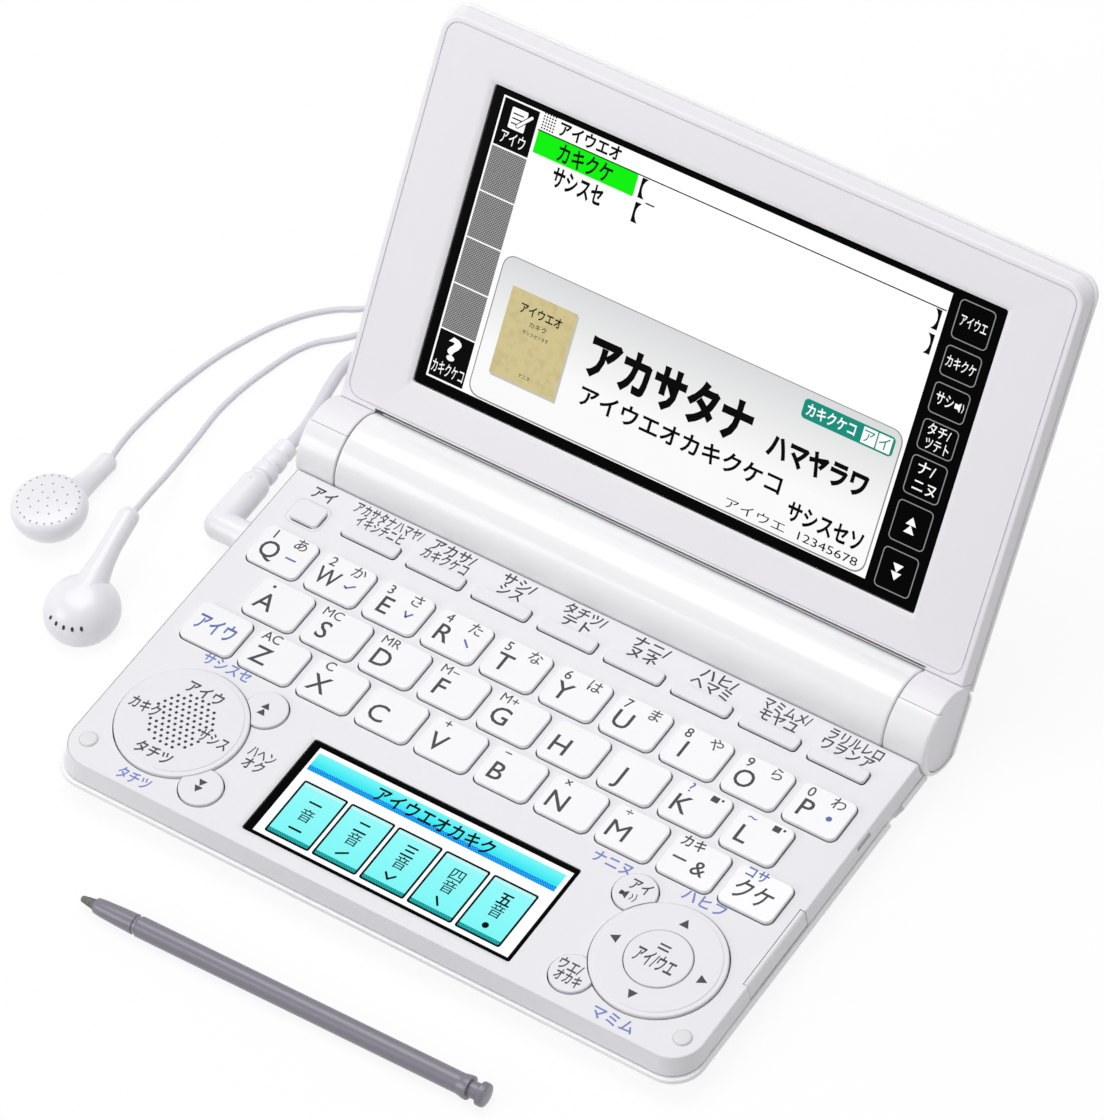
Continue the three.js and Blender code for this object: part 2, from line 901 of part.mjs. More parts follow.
function bezel() {
  const shell = loft([
    {
      outline: roundedOutline(
        -lidHalfX + lid.wall,
        lidHalfX - lid.wall,
        lid.heelInner,
        lidTop - lid.wall,
        gap,
        lid.corner - lid.wall,
      ),
      z: lidFace - lid.plate,
    },
    {
      outline: roundedOutline(
        -lidHalfX - lid.flareLateral + lid.wall,
        lidHalfX + lid.flareLateral - lid.wall,
        lid.heelInner,
        lidTop + lid.flareTop - lid.wall,
        gap,
        lid.corner - lid.wall,
      ),
      z: lidSeam,
    },
    { outline: lidOutline(lid.flareLateral, lid.flareTop, lid.heel, lid.corner), z: lidSeam },
    { outline: lidOutline(0, 0, lid.heel, lid.corner), z: lidFace - deck.chamfer },
    { outline: lidOutline(-deck.chamfer, -deck.chamfer, lid.heel, lid.corner), z: lidFace },
  ]);
  const knuckles = [-1, 1].map((side) =>
    knuckleRod(side).intersect(upperKnuckleZone(side, 0)),
  );
  return without(joined([solidOf(shell), ...knuckles]), [barrelSweep, screenHole()]);
}

function outerCover() {
  const side = lid.flareLateral + cover.lateral;
  const top = lid.flareTop + cover.top;
  const plate = loft([
    { outline: lidOutline(side - cover.inset, top - cover.inset, cover.heel, lid.corner), z: coverBack },
    { outline: lidOutline(side, top, cover.heel, lid.corner), z: coverFront - cover.drop },
    { outline: lidOutline(side - rim.edge, top - rim.edge, cover.heel, lid.corner), z: coverFront },
  ]);
  const knuckles = [-1, 1].map((side) => knuckleRod(side).subtract(upperKnuckleZone(side, gap)));
  return without(joined([solidOf(plate), ...knuckles]), [
    barrelSweep,
    shaftSocket(-1),
    shaftSocket(1),
  ]);
}

function screenPanel() {
  const half = screen.height / 2;
  return block(
    -screen.width / 2,
    screen.width / 2,
    screen.centreV - half,
    screen.centreV + half,
    lidSeam,
    panelFront,
  );
}

// Main board

function mainBoard() {
  const top = board.z + board.thickness;
  const plate = block(board.left, board.right, board.front, board.back, board.z, top);
  const socket = block(
    jackOuter,
    jackOuter + jack.bodyLength,
    jack.y - jack.width / 2,
    jack.y + jack.width / 2,
    jack.bottom,
    jack.top,
  );
  const card = block(
    board.right - cardSocket.depth,
    board.right,
    cardCover.y - cardSocket.length / 2,
    cardCover.y + cardSocket.length / 2,
    top - board.thickness / 2,
    top + cardSocket.height,
  );
  const bore = rodX(
    jackBore,
    jackOuter - overrun,
    jackOuter + jack.depth,
    jack.y,
    jack.z,
    smallSteps,
  );
  const slot = block(
    board.right - cardSocket.depth + overrun,
    board.right + overrun,
    cardCover.y - cardSocket.slotLength / 2,
    cardCover.y + cardSocket.slotLength / 2,
    top + (cardSocket.height - cardSocket.slot) / 2,
    top + (cardSocket.height + cardSocket.slot) / 2,
  );
  const soundHole = rodZ(speaker.rim, board.z - overrun, top + overrun, -dial.x, dial.y);
  return without(joined([plate, socket, card]), [bore, slot, soundHole]);
}

function speakerUnit() {
  const bottom = floorPlate.thickness + gap;
  const top = bottom + speaker.height;
  return turnedZ([
    [bottom, 0],
    [bottom, speaker.rim],
    [top - speaker.step, speaker.rim],
    [top - speaker.step, speaker.radius],
    [top, speaker.radius],
    [top, 0],
  ]).translate(-dial.x, dial.y, 0);
}

// Stylus, lying on the surface in front of the base on its shaft and its flare

function stylusGeometry() {
  const s = stylus;
  const headAt = s.length - s.head;
  const neckAt = headAt - s.neck;
  const flareAt = neckAt - s.flare;
  return turnedX(
    [
      [0, 0],
      [0, s.tip],
      [s.cone, s.coneRadius],
      [s.cone, s.radius],
      [s.groove, s.radius],
      [s.groove, s.radius - s.grooveDepth],
      [s.groove + s.grooveWidth, s.radius - s.grooveDepth],
      [s.groove + s.grooveWidth, s.radius],
      [flareAt, s.radius],
      [flareAt, s.flareRadius],
      [neckAt, s.flareRadius],
      [neckAt, s.neckRadius],
      [headAt, s.neckRadius],
      [headAt, s.flareRadius],
      [s.length, s.flareRadius],
      [s.length, 0],
    ],
    smallSteps,
  );
}

function layStylus(mesh) {
  const s = stylus;
  const rise = Math.asin((s.flareRadius - s.radius) / (s.length - s.cone));
  mesh.rotation.set(0, -rise, s.heading, "ZYX");
  const x = s.fromLeft - deckHalfX;
  const y = -deckHalfY - s.ahead;
  mesh.position.set(x, y, s.radius - s.cone * Math.sin(rise) + s.contactGap);
}

// Earphone plug: elbow body, collar and pin in the jack, ribbed strain relief

const plugRear = jack.y + plug.tail - plug.rear;

function plugSolid() {
  const bodyProfile = [
    [-plug.rear, 0],
    [-plug.rear, plug.radius - plug.bend],
    [plug.bend - plug.rear, plug.radius],
    [plug.tail - plug.rear - plug.bend / 2, plug.radius],
    [plug.tail - plug.rear, plug.reliefRadius],
    [plug.tail - plug.rear, 0],
  ];
  const body = solidOf(
    turnedX(bodyProfile, smallSteps).rotateZ(turn / 4).translate(plugX, jack.y, jack.z),
  );
  const wallAt = -deckHalfX - wall.flareLateral - rim.lateral - gap;
  const arm = rodX(plug.radius, plugX, wallAt, jack.y, jack.z, smallSteps);
  const collar = rodX(plug.collar, wallAt - gap, jackOuter - gap, jack.y, jack.z, smallSteps);
  const tipX = jackOuter - gap + plugPin.length;
  const pin = solidOf(
    turnedX(
      [
        [wallAt, 0],
        [wallAt, plugPin.radius],
        [tipX - plugPin.tip, plugPin.radius],
        [tipX, plugPin.radius - plugPin.tip],
        [tipX, 0],
      ],
      smallSteps,
    ).translate(0, jack.y, jack.z),
  );
  return joined([body, arm, collar, pin, reliefSolid()]);
}

function reliefSolid() {
  const ribLength = plug.reliefLength / ribCount;
  const slim = plug.reliefRadius - plug.ribDepth;
  const profile = [[-plug.bend, 0], [-plug.bend, slim]];
  for (let i = 0; i < ribCount; i++) {
    const start = i * ribLength;
    const ramp = ribLength * ribRampShare;
    profile.push([start, slim], [start + ramp, plug.reliefRadius]);
    profile.push([start + ribLength - ramp, plug.reliefRadius]);
  }
  profile.push([plug.reliefLength, slim], [plug.reliefLength, 0]);
  const relief = turnedX(profile, smallSteps).rotateZ(turn / 4);
  return solidOf(relief.translate(plugX, plugRear, jack.z));
}

// Cords. A route's points are chosen by hand

const twinRadius = twin.diameter / 2;
const leadRadius = lead.diameter / 2;
const twinRest = twinRadius + twin.floorGap;
const leadRest = leadRadius + twin.floorGap;
const cordExit = new THREE.Vector3(plugX, plugRear + plug.reliefLength + gap, jack.z);

const twinRoute = [
  [-80.8, 50.8, 4.2],
  [-81.4, 55.2, 3],
  [-83, 62, 1.5],
  [-84.4, 69.2, 1.35],
  [-84.9, 75.2, 1.35],
  [-83.4, 80.2, 1.35],
  [-79.4, 82.4, 1.35],
  [-74.6, 80.8, 1.35],
  [-69.6, 76, 1.35],
  [-64, 71.8, 1.35],
  [-58.5, 70.6, 1.35],
];

// Both leads run side by side; the near one is nearer to the coil
const nearLeadRoute = [
  [-7, 80.5, 0.9],
  [4, 81.6, 0.7],
  [20, 81.4, 0.7],
  [36, 83, 0.7],
  [47, 89.5, 0.7],
  [50, 100, 0.7],
  [44, 110.5, 0.7],
  [30, 116, 0.7],
  [10, 117.6, 0.7],
  [-14, 118, 0.7],
  [-38, 118, 0.7],
  [-56, 115.6, 0.7],
  [-68, 109.8, 0.7],
  [-75.5, 102, 0.7],
  [-81.5, 92.6, 0.7],
  [-88.7, 82.45, 0.7],
  [-94.9, 75.95, 0.7],
  [-98.3, 66.45, 0.7],
  [-100.5, 53.35, 0.7],
  [-99.9, 43.6, 1.1],
  [-98, 32.6, 3.8],
  [-96, 22.8, 7.4],
];

const farLeadRoute = [
  [-7, 77.9, 0.9],
  [4, 78.6, 0.7],
  [20, 78.4, 0.7],
  [37, 80, 0.7],
  [49.6, 87.6, 0.7],
  [53, 100, 0.7],
  [46, 112.9, 0.7],
  [31, 118.8, 0.7],
  [10, 120.2, 0.7],
  [-14, 120.6, 0.7],
  [-39, 120.9, 0.7],
  [-58, 118.6, 0.7],
  [-71, 112.6, 0.7],
  [-80, 103.6, 0.7],
  [-86, 95, 0.7],
  [-91.1, 89.85, 0.7],
  [-95.7, 86.85, 0.7],
  [-101.5, 80.65, 0.7],
  [-107.2, 69.55, 0.7],
  [-110.7, 57.35, 0.7],
  [-112.5, 42.05, 0.7],
  [-112.1, 34.3, 1.5],
];

function splinePoints(points, step) {
  const curve = new THREE.CatmullRomCurve3(points, false, "centripetal");
  const count = Math.max(2, Math.round(curve.getLength() / step));
  return curve.getSpacedPoints(count);
}

const vectors = (list) => list.map(([x, y, z]) => new THREE.Vector3(x, y, z));

// The coil's centre line: in on the floor level, a half turn up, out on the upper level, away

function coilRadiusAt(turns) {
  const inner = coil.outerRadius - coil.turnsIn * coil.pitch;
  if (turns < coil.turnsIn) return coil.outerRadius - turns * coil.pitch;
  if (turns < coil.turnsIn + 1 / 2) return inner;
  return inner + (turns - coil.turnsIn - 1 / 2) * coil.pitch;
}

function coilHeightAt(turns) {
  const share = THREE.MathUtils.clamp((turns - coil.turnsIn) * 2, 0, 1);
  return twinRest + coil.rise * share;
}

function coilPoints() {
  const total = coil.turnsIn + 1 / 2 + coil.turnsOut;
  const steps = Math.round(total * coil.stepsPerTurn);
  const start = new THREE.Vector3(coil.x - coil.leadIn, coil.y - coil.outerRadius, twinRest);
  const points = [start];
  for (let i = 0; i <= steps; i++) {
    const turns = (i / steps) * total;
    const angle = coil.startAngle + turns * turn;
    const radius = coilRadiusAt(turns);
    points.push(
      new THREE.Vector3(
        coil.x + radius * Math.cos(angle),
        coil.y + radius * Math.sin(angle),
        coilHeightAt(turns),
      ),
    );
  }
  return points.concat(coilExit(coil.startAngle + total * turn, points[points.length - 1]));
}

// The run that leaves the upper level and comes down to the surface past the outer loop
function coilExit(angle, from) {
  const heading = new THREE.Vector3(-Math.sin(angle), Math.cos(angle), 0);
  const runs = Math.round(coil.exitRun / coil.pitch);
  return Array.from({ length: runs }, (_, i) => {
    const along = ((i + 1) / runs) * coil.exitRun;
    const share = THREE.MathUtils.smoothstep(along, coil.exitLevel, coil.exitLevel + coil.exitDrop);
    const point = from.clone().addScaledVector(heading, along);
    point.z = from.z - coil.rise * share;
    return point;
  });
}

// Least distance between the skins of two loops of one tube, measured on its points
function leastGap(points, radius) {
  let least = Infinity;
  const innerStep = (turn * coilRadiusAt(coil.turnsIn)) / coil.stepsPerTurn;
  const skip = Math.ceil(coil.checkReach / innerStep);
  points.forEach((a, i) => {
    for (let j = i + skip; j < points.length; j++) {
      least = Math.min(least, a.distanceTo(points[j]) - 2 * radius);
    }
  });
  return least;
}

// Where both leads leave the twin cord
function splitterSolid(end, heading) {
  const half = splitter.width / 2;
  const body = block(
    gap,
    splitter.length + gap,
    -half,
    half,
    twin.floorGap - end.z,
    splitter.height + twin.floorGap - end.z,
  );
  const angle = Math.atan2(heading.y, heading.x) / degree;
  return body.rotate([0, 0, angle]).translate([end.x, end.y, end.z]);
}

// Earbuds: a shallow dome with a stem out of its back

function budSolid() {
  const b = bud;
  const profile = domeShares.map(([height, radius]) => [b.height * height, b.radius * radius]);
  const dome = turnedZ(profile, smallSteps);
  const stem = turnedX(
    [
      [-b.stemBack, 0],
      [-b.stemBack, b.stemRadius],
      [b.stemLength - b.stemRadius * stemTipShare.length, b.stemRadius],
      [b.stemLength, b.stemRadius * stemTipShare.radius],
      [b.stemLength, 0],
    ],
    smallSteps,
  ).rotateZ(turn / 4);
  return solidOf(dome).add(solidOf(stem.translate(0, 0, b.stemAt)));
}

const budPlaces = {
  earbud_left: { x: -112.1, y: 10.5, heading: -3 * degree, tilt: 0, faceDown: false },
  earbud_right: { x: -91.5, y: -6, heading: 7.5 * degree, tilt: 10 * degree, faceDown: true },
};

function budMatrix({ x, y, heading, tilt, faceDown }) {
  const flip = new THREE.Matrix4().makeRotationY(faceDown ? turn / 2 : 0);
  const lean = new THREE.Matrix4().makeRotationX(tilt);
  const swing = new THREE.Matrix4().makeRotationZ(heading);
  const height = faceDown ? bud.height + budLift(tilt) : twin.floorGap;
  const shift = new THREE.Matrix4().makeTranslation(x, y, height);
  return shift.multiply(swing).multiply(lean).multiply(flip);
}

// A leaning bud stands on the round edge of its face
const budLift = (tilt) => bud.radius * standShare * Math.sin(tilt) + twin.floorGap;

function stemEnd(placeOfBud) {
  return new THREE.Vector3(0, bud.stemLength + gap, bud.stemAt).applyMatrix4(budMatrix(placeOfBud));
}

// Assembly

place("lower_case", geometryOf(lowerCase()), glossWhite);
place("upper_case", geometryOf(upperCase()), satinGrey);
place("hinge_barrel", barrel(), glossWhite);
place("battery_cover", batteryDoor(), glossWhite);
place("main_board", geometryOf(mainBoard()), boardGreen);
place("speaker", speakerUnit(), darkGrey);
place("touch_pad", geometryOf(padPanel()), blackGlass);
place("card_cover", cardFlap(), satinGrey);

for (const [side, name] of [[-1, "left"], [1, "right"]]) {
  const ends = [side * shaftInner, side * shaftOuter].sort((a, b) => a - b);
  const rod = geometryOf(rodX(shaft.radius, ends[0], ends[1], hingeY, hinge.height, smallSteps));
  place("hinge_shaft_" + name, rod, steel);
  const length = cellBody + cell.nub;
  const start = side < 0 ? -length - cell.between / 2 : cell.between / 2;
  place("battery_" + name, cellGeometry().translate(start, hingeY, hinge.height), cellSleeve);
}

for (const key of keyPlaces()) {
  place(key.name, keyCap(key.x, key.y, letterKey.width, letterKey.depth), keyWhite);
}
const { x: powerX, y: powerY, width: powerWidth, depth: powerDepth } = powerKey;
place("key_power", keyCap(powerX, powerY, powerWidth, powerDepth), satinGrey);
place("function_keys", geometryOf(functionStrip()), satinGrey);
place("rocker_disc", rocker(), satinGrey);
place("navigation_ring", navigationRing(), satinGrey);
place("key_enter", enterCap(), satinGrey);
place("key_page_up", geometryOf(tuckedKey(-1, 1)), satinGrey);
place("key_page_down", geometryOf(tuckedKey(-1, -1)), satinGrey);
place("key_voice", geometryOf(tuckedKey(1, 1)), satinGrey);
place("key_back", geometryOf(tuckedKey(1, -1)), satinGrey);

place("lid_bezel", geometryOf(bezel()), satinGrey, lidGroup);
place("lid_cover", geometryOf(outerCover()), glossWhite, lidGroup);
place("screen_panel", geometryOf(screenPanel()), blackGlass, lidGroup);

layStylus(place("stylus", stylusGeometry(), darkGrey));

place("earphone_plug", geometryOf(plugSolid()), glossWhite);

const coilLine = coilPoints();
console.log("least gap between the coil's loops: " + leastGap(coilLine, twinRadius).toFixed(2) + " mm");
place("earphone_coil", tubeAlong(coilLine, twinRadius, coil.sides), cordWhite);

const coilStart = coilLine[0];
const twinEnd = coilStart.clone().add(new THREE.Vector3(-gap, 0, 0));
const straightIn = twinEnd.clone().add(new THREE.Vector3(-twin.diameter, 0, 0));
const straightOut = cordExit.clone().add(new THREE.Vector3(0, twin.diameter, 0));
const twinPoints = [cordExit, straightOut, ...vectors(twinRoute), straightIn, twinEnd];
const twinLine = splinePoints(twinPoints, twin.diameter);
place("earphone_cord", tubeAlong(twinLine, twinRadius, twin.sides), cordWhite);

const coilEnd = coilLine[coilLine.length - 1];
const coilHeading = coilEnd.clone().sub(coilLine[coilLine.length - 2]).setZ(0).normalize();
const splitterSide = new THREE.Vector3(-coilHeading.y, coilHeading.x, 0);

function leadSolid(side, route, budName) {
  const spot = coilEnd.clone().setZ(leadRest + gap);
  const inside = spot.clone().addScaledVector(coilHeading, splitter.length / 2);
  inside.addScaledVector(splitterSide, (side * splitter.width) / 4);
  const mouth = inside.clone().addScaledVector(coilHeading, splitter.length / 2 + leadRadius);
  const end = stemEnd(budPlaces[budName]);
  const line = splinePoints([inside, mouth, ...vectors(route), end], lead.step);
  return solidOf(tubeAlong(line, leadRadius, lead.sides));
}

const leads = joined([
  splitterSolid(coilEnd, coilHeading),
  leadSolid(1, nearLeadRoute, "earbud_right"),
  leadSolid(-1, farLeadRoute, "earbud_left"),
]);
place("earphone_leads", geometryOf(leads), cordWhite);

for (const [name, placeOfBud] of Object.entries(budPlaces)) {
  place(name, geometryOf(budSolid()).applyMatrix4(budMatrix(placeOfBud)), glossWhite);
}

export default dictionary;
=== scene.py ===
"""Looks of a clamshell electronic dictionary with its stylus and its earphones.

Shapes are worked out in millimetres in the part's own frame: X to the right of the keyboard,
Y towards the hinge, Z up. Each finished piece is turned into metres in its mesh.
"""

import logging
import math
from dataclasses import dataclass, field
from enum import Enum
from functools import cache
from typing import Iterable, Sequence

import bmesh
import bpy
from mathutils import Matrix, Vector

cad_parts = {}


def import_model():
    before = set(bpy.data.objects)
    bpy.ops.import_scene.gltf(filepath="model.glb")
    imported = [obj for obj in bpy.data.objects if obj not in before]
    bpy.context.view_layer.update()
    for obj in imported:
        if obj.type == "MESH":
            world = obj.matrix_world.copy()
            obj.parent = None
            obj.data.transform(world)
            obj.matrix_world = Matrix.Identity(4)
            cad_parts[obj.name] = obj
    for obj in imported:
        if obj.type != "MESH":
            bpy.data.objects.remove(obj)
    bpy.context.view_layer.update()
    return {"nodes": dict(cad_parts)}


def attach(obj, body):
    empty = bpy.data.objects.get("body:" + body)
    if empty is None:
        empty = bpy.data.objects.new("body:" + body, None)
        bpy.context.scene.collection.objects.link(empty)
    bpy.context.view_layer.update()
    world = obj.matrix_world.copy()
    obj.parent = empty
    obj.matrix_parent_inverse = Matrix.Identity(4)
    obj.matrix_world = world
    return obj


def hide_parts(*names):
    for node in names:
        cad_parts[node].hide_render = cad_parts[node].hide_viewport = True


LOG = logging.getLogger("dictionary")

MM = 0.001
DEGREE = math.pi / 180
TURN = 2 * math.pi
GAP = 0.3
NEAR = 1e-4
SQUARE = 0.0

Point = tuple[float, float, float]
Colour = tuple[float, float, float]
Pair = tuple[float, float]
Layer = tuple[Pair, Pair, float]
Inputs = dict[str | int, object]


# ---------------------------------------------------------------- shared sizes


@dataclass(frozen=True)
class Deck:
    """The flat top of the base, and the walls that slant out below it."""

    half_x: float = 72.5
    half_y: float = 41.55
    top: float = 10.3
    under: float = 8.6
    corner: float = 6.5
    chamfer: float = 0.4
    rear: float = 44.55
    seam_top: float = 6.3
    flare_side: float = 0.4
    flare_front: float = 1.2
    cut_from: float = 5.0
    jack_y: float = 25.25
    jack_z: float = 4.4


@dataclass(frozen=True)
class Hinge:
    """The barrel of the base and the axis that the lid turns on."""

    y: float = 50.95
    z: float = 10.0
    radius: float = 9.3
    clear: float = 9.65
    half: float = 63.9
    knuckle_inner: float = 64.2
    knuckle_outer: float = 73.5
    shaft_room: float = 2.8
    open_angle: float = 56 * DEGREE


@dataclass(frozen=True)
class Lid:
    """The lid in its own frame: x, away from the axis, and towards the reader."""

    half_x: float = 72.6
    heel: float = 8.0
    top: float = 92.5
    face: float = -1.5
    seam: float = -4.7
    cover_front: float = -4.88
    cover_back: float = -6.0
    corner: float = 4.5
    flare_side: float = 0.5
    flare_top: float = 1.4
    screen_half_x: float = 58.0
    screen_low: float = 18.65
    screen_high: float = 82.15
    screen_front: float = -2.3
    print_zero: float = 11.0


DECK = Deck()
HINGE = Hinge()
LID = Lid()


def shift(x: float, y: float, z: float) -> Matrix:
    """Returns the move by x, y and z."""
    return Matrix.Translation((x, y, z))


def spun(angle: float, axis: str) -> Matrix:
    """Returns the turn by an angle about one of the axes."""
    return Matrix.Rotation(angle, 4, axis)


def lid_place() -> Matrix:
    """Returns the matrix from the lid's own frame to the part's frame, in millimetres."""
    return shift(0, HINGE.y, HINGE.z) @ spun(HINGE.open_angle, "X")


def about(middle: float, half: float) -> Pair:
    """Returns the ends of a span about its middle."""
    return (middle - half, middle + half)


def wider(span: Pair, reach: float) -> Pair:
    """Returns a span that reaches further at both ends."""
    return (span[0] - reach, span[1] + reach)


def ordered(a: float, b: float) -> Pair:
    """Returns two values with the lower one first."""
    return (min(a, b), max(a, b))


# ---------------------------------------------------------------- shaping


def extents(verts: Iterable[bmesh.types.BMVert]) -> tuple[float, float, float, float]:
    """Measures how far some vertices reach.

    Args:
        verts: The vertices.

    Returns:
        Least and greatest x and y.
    """
    places = [v.co for v in verts]
    xs = [p.x for p in places]
    ys = [p.y for p in places]
    return min(xs), max(xs), min(ys), max(ys)


def stood(name: str, data: bpy.types.ID) -> bpy.types.Object:
    """Stands a new object in the scene, with its mesh, curve, letters, lamp or camera."""
    made = bpy.data.objects.new(name, data)
    bpy.context.scene.collection.objects.link(made)
    return made


class Form:
    """A closed solid in the making, in millimetres."""

    def __init__(self) -> None:
        """Starts with nothing."""
        self.bm = bmesh.new()

    def outline(
        self, x: Pair, y: Pair, z: float, front: float, back: float | None = None, steps: int = 6
    ) -> bmesh.types.BMFace:
        """Lays a flat rectangle with rounded corners.

        Args:
            x: Left and right.
            y: Front and back.
            z: Its height.
            front: Front corner radius.
            back: Back corner radius, if another one.
            steps: Segments in each corner.

        Returns:
            The new face.
        """
        rear = front if back is None else back
        fresh = bmesh.ops.create_grid(self.bm, x_segments=1, y_segments=1, size=0.5)["verts"]
        middle = Vector(((x[0] + x[1]) / 2, (y[0] + y[1]) / 2, z))
        size = Vector((x[1] - x[0], y[1] - y[0], 1))
        bmesh.ops.scale(self.bm, vec=size, verts=fresh)
        bmesh.ops.translate(self.bm, vec=middle, verts=fresh)
        face = fresh[0].link_faces[0]
        for radius, ahead in ((front, True), (rear, False)):
            if radius > 0:
                corners = [v for v in face.verts if (v.co.y < middle.y) == ahead]
                self._bevel(corners, "VERTICES", radius, steps)
                face = self._open_face(middle)
        return face

    def _open_face(self, middle: Vector) -> bmesh.types.BMFace:
        """Returns the face without walls that lies nearest to a point at its height."""
        level = [f for f in self.bm.faces if abs(f.calc_center_bounds().z - middle.z) < NEAR]
        loose = [f for f in level if all(len(e.link_faces) == 1 for e in f.edges)]
        return min(loose, key=lambda f: (f.calc_center_bounds() - middle).length)

    def _bevel(self, geom: list, affect: str, width: float, segments: int) -> None:
        """Rounds corners (affect is VERTICES) or edges (EDGES), to a width in some segments."""
        bmesh.ops.bevel(
            self.bm, geom=geom, offset=width, segments=segments, profile=0.5, affect=affect,
            material=-1,
        )

    def grow(self, face: bmesh.types.BMFace, x: Pair, y: Pair, z: float) -> bmesh.types.BMFace:
        """Pulls a face to a new outline, with walls between the two.

        Args:
            face: The face to pull.
            x: Left and right.
            y: Front and back.
            z: The new height.

        Returns:
            The face at the new place.
        """
        walled = all(len(e.link_faces) > 1 for e in face.edges)
        made = bmesh.ops.extrude_face_region(self.bm, geom=[face])["geom"]
        ring = [g for g in made if isinstance(g, bmesh.types.BMVert)]
        end = next(g for g in made if isinstance(g, bmesh.types.BMFace))
        if walled:
            bmesh.ops.delete(self.bm, geom=[face], context="FACES_ONLY")
        x0, x1, y0, y1 = extents(ring)
        old = shift(-(x0 + x1) / 2, -(y0 + y1) / 2, -ring[0].co.z)
        size = Matrix.Diagonal(((x[1] - x[0]) / (x1 - x0), (y[1] - y[0]) / (y1 - y0), 1, 1))
        new = shift((x[0] + x[1]) / 2, (y[0] + y[1]) / 2, z)
        bmesh.ops.transform(self.bm, matrix=new @ size @ old, verts=ring)
        return end

    def stack(
        self, layers: Sequence[Layer], front: float, back: float | None = None, steps: int = 6
    ) -> "Form":
        """Adds a solid with rounded corners, led from outline to outline.

        Args:
            layers: The x, y and height of each outline.
            front: Front corner radius.
            back: Back corner radius, if another one.
            steps: Segments in each corner.

        Returns:
            This form.
        """
        face = self.outline(*layers[0], front, back, steps)
        for layer in layers[1:]:
            face = self.grow(face, *layer)
        return self

    def block(self, x: Pair, y: Pair, z: Pair, corner: float = SQUARE, steps: int = 4) -> "Form":
        """Adds an upright block with rounded corners."""
        return self.stack([(x, y, z[0]), (x, y, z[1])], corner, steps=steps)

    def post(self, at: Pair, rings: Sequence[Pair], steps: int = 48) -> "Form":
        """Adds an upright round post from heights and radii, from below."""
        profile = [(0.0, rings[0][0])] + [(r, z) for z, r in rings] + [(0.0, rings[-1][0])]
        return self.turned(profile, shift(*at, 0), steps)

    def turned(
        self, profile: Sequence[Pair], place: Matrix, steps: int = 48, closed: bool = False
    ) -> "Form":
        """Adds a turned solid.

        Args:
            profile: Its radii and heights.
            place: Where its foot and its axis Z go.
            steps: Segments round it.
            closed: Whether it stays off the axis.

        Returns:
            This form.
        """
        solid = Form()
        lathe = solid.bm
        dots = [lathe.verts.new((radius, 0, height)) for radius, height in profile]
        pairs = list(zip(dots, dots[1:]))
        if closed:
            pairs.append((dots[-1], dots[0]))
        for pair in pairs:
            lathe.edges.new(pair)
        bmesh.ops.spin(
            lathe, geom=lathe.verts[:] + lathe.edges[:], cent=(0, 0, 0), axis=(0, 0, 1), angle=TURN,
            steps=steps, use_merge=True,
        )
        bmesh.ops.remove_doubles(lathe, verts=lathe.verts[:], dist=NEAR)
        bmesh.ops.dissolve_degenerate(lathe, dist=NEAR / 10, edges=lathe.edges[:])
        return self.add(solid.outward(), place)

    def swept(self, stops: Sequence[tuple[Point, float]], steps: int = 32) -> "Form":
        """Adds a round bar that bends.

        Args:
            stops: Middles and radii along it.
            steps: Segments round it.

        Returns:
            This form.
        """
        solid = Form()
        pipe = solid.bm
        places = [Vector(place) for place, _ in stops]
        rings = []
        for i, (_, radius) in enumerate(stops):
            ahead = places[min(i + 1, len(places) - 1)] - places[max(i - 1, 0)]
            turn = shift(*places[i]) @ ahead.to_track_quat("Z", "X").to_matrix().to_4x4()
            ring = bmesh.ops.create_circle(pipe, segments=steps, radius=radius, matrix=turn)
            rings.append(list({edge for dot in ring["verts"] for edge in dot.link_edges}))
        for one, two in zip(rings, rings[1:]):
            bmesh.ops.bridge_loops(pipe, edges=one + two)
        bmesh.ops.holes_fill(pipe, edges=rings[0] + rings[-1])
        return self.add(solid.outward())

    def inked(self, index: int) -> "Form":
        """Gives all faces one of the piece's finishes and returns this form."""
        for face in self.bm.faces:
            face.material_index = index
        return self

    def add(self, other: "Form", place: Matrix | None = None) -> "Form":
        """Adds another solid, which is used up.

        Args:
            other: The solid.
            place: Where it goes.

        Returns:
            This form.
        """
        if place is not None:
            other.moved(place)
        mesh = other.mesh("part")
        self.bm.from_mesh(mesh)
        bpy.data.meshes.remove(mesh)
        return self

    def soften(self, width: float, segments: int, angle: float, z: float | None = None) -> "Form":
        """Rounds the sharp edges, all or those at one height.

        Args:
            width: How wide the rounding is.
            segments: Segments across it.
            angle: The least turn of a sharp edge, in degrees.
            z: The height, if one is meant.

        Returns:
            This form.
        """
        chosen = [e for e in self.bm.edges if e.calc_face_angle(0) > angle * DEGREE]
        if z is not None:
            chosen = [e for e in chosen if all(abs(v.co.z - z) < NEAR for v in e.verts)]
        self._bevel(chosen, "EDGES", width, segments)
        return self

    def level(self, z: float, width: float, segments: int = 3) -> "Form":
        """Rounds the sharp edges that lie at one height."""
        return self.soften(width, segments, 20, z)

    def sunk(self, z: float, index: int) -> "Form":
        """Gives the faces that lie wholly below a height another finish, which the keys use for
        painted shade on their sides down in the deck's gaps.

        Args:
            z: The height.
            index: The finish's place in the piece's list.

        Returns:
            This form.
        """
        for face in self.bm.faces:
            if max(v.co.z for v in face.verts) < z + 10 * NEAR:
                face.material_index = index
        return self

    def moved(self, place: Matrix) -> "Form":
        """Moves the whole form.

        Args:
            place: The move.

        Returns:
            This form.
        """
        bmesh.ops.transform(self.bm, matrix=place, verts=self.bm.verts[:])
        if place.determinant() < 0:
            bmesh.ops.reverse_faces(self.bm, faces=self.bm.faces[:])
        return self

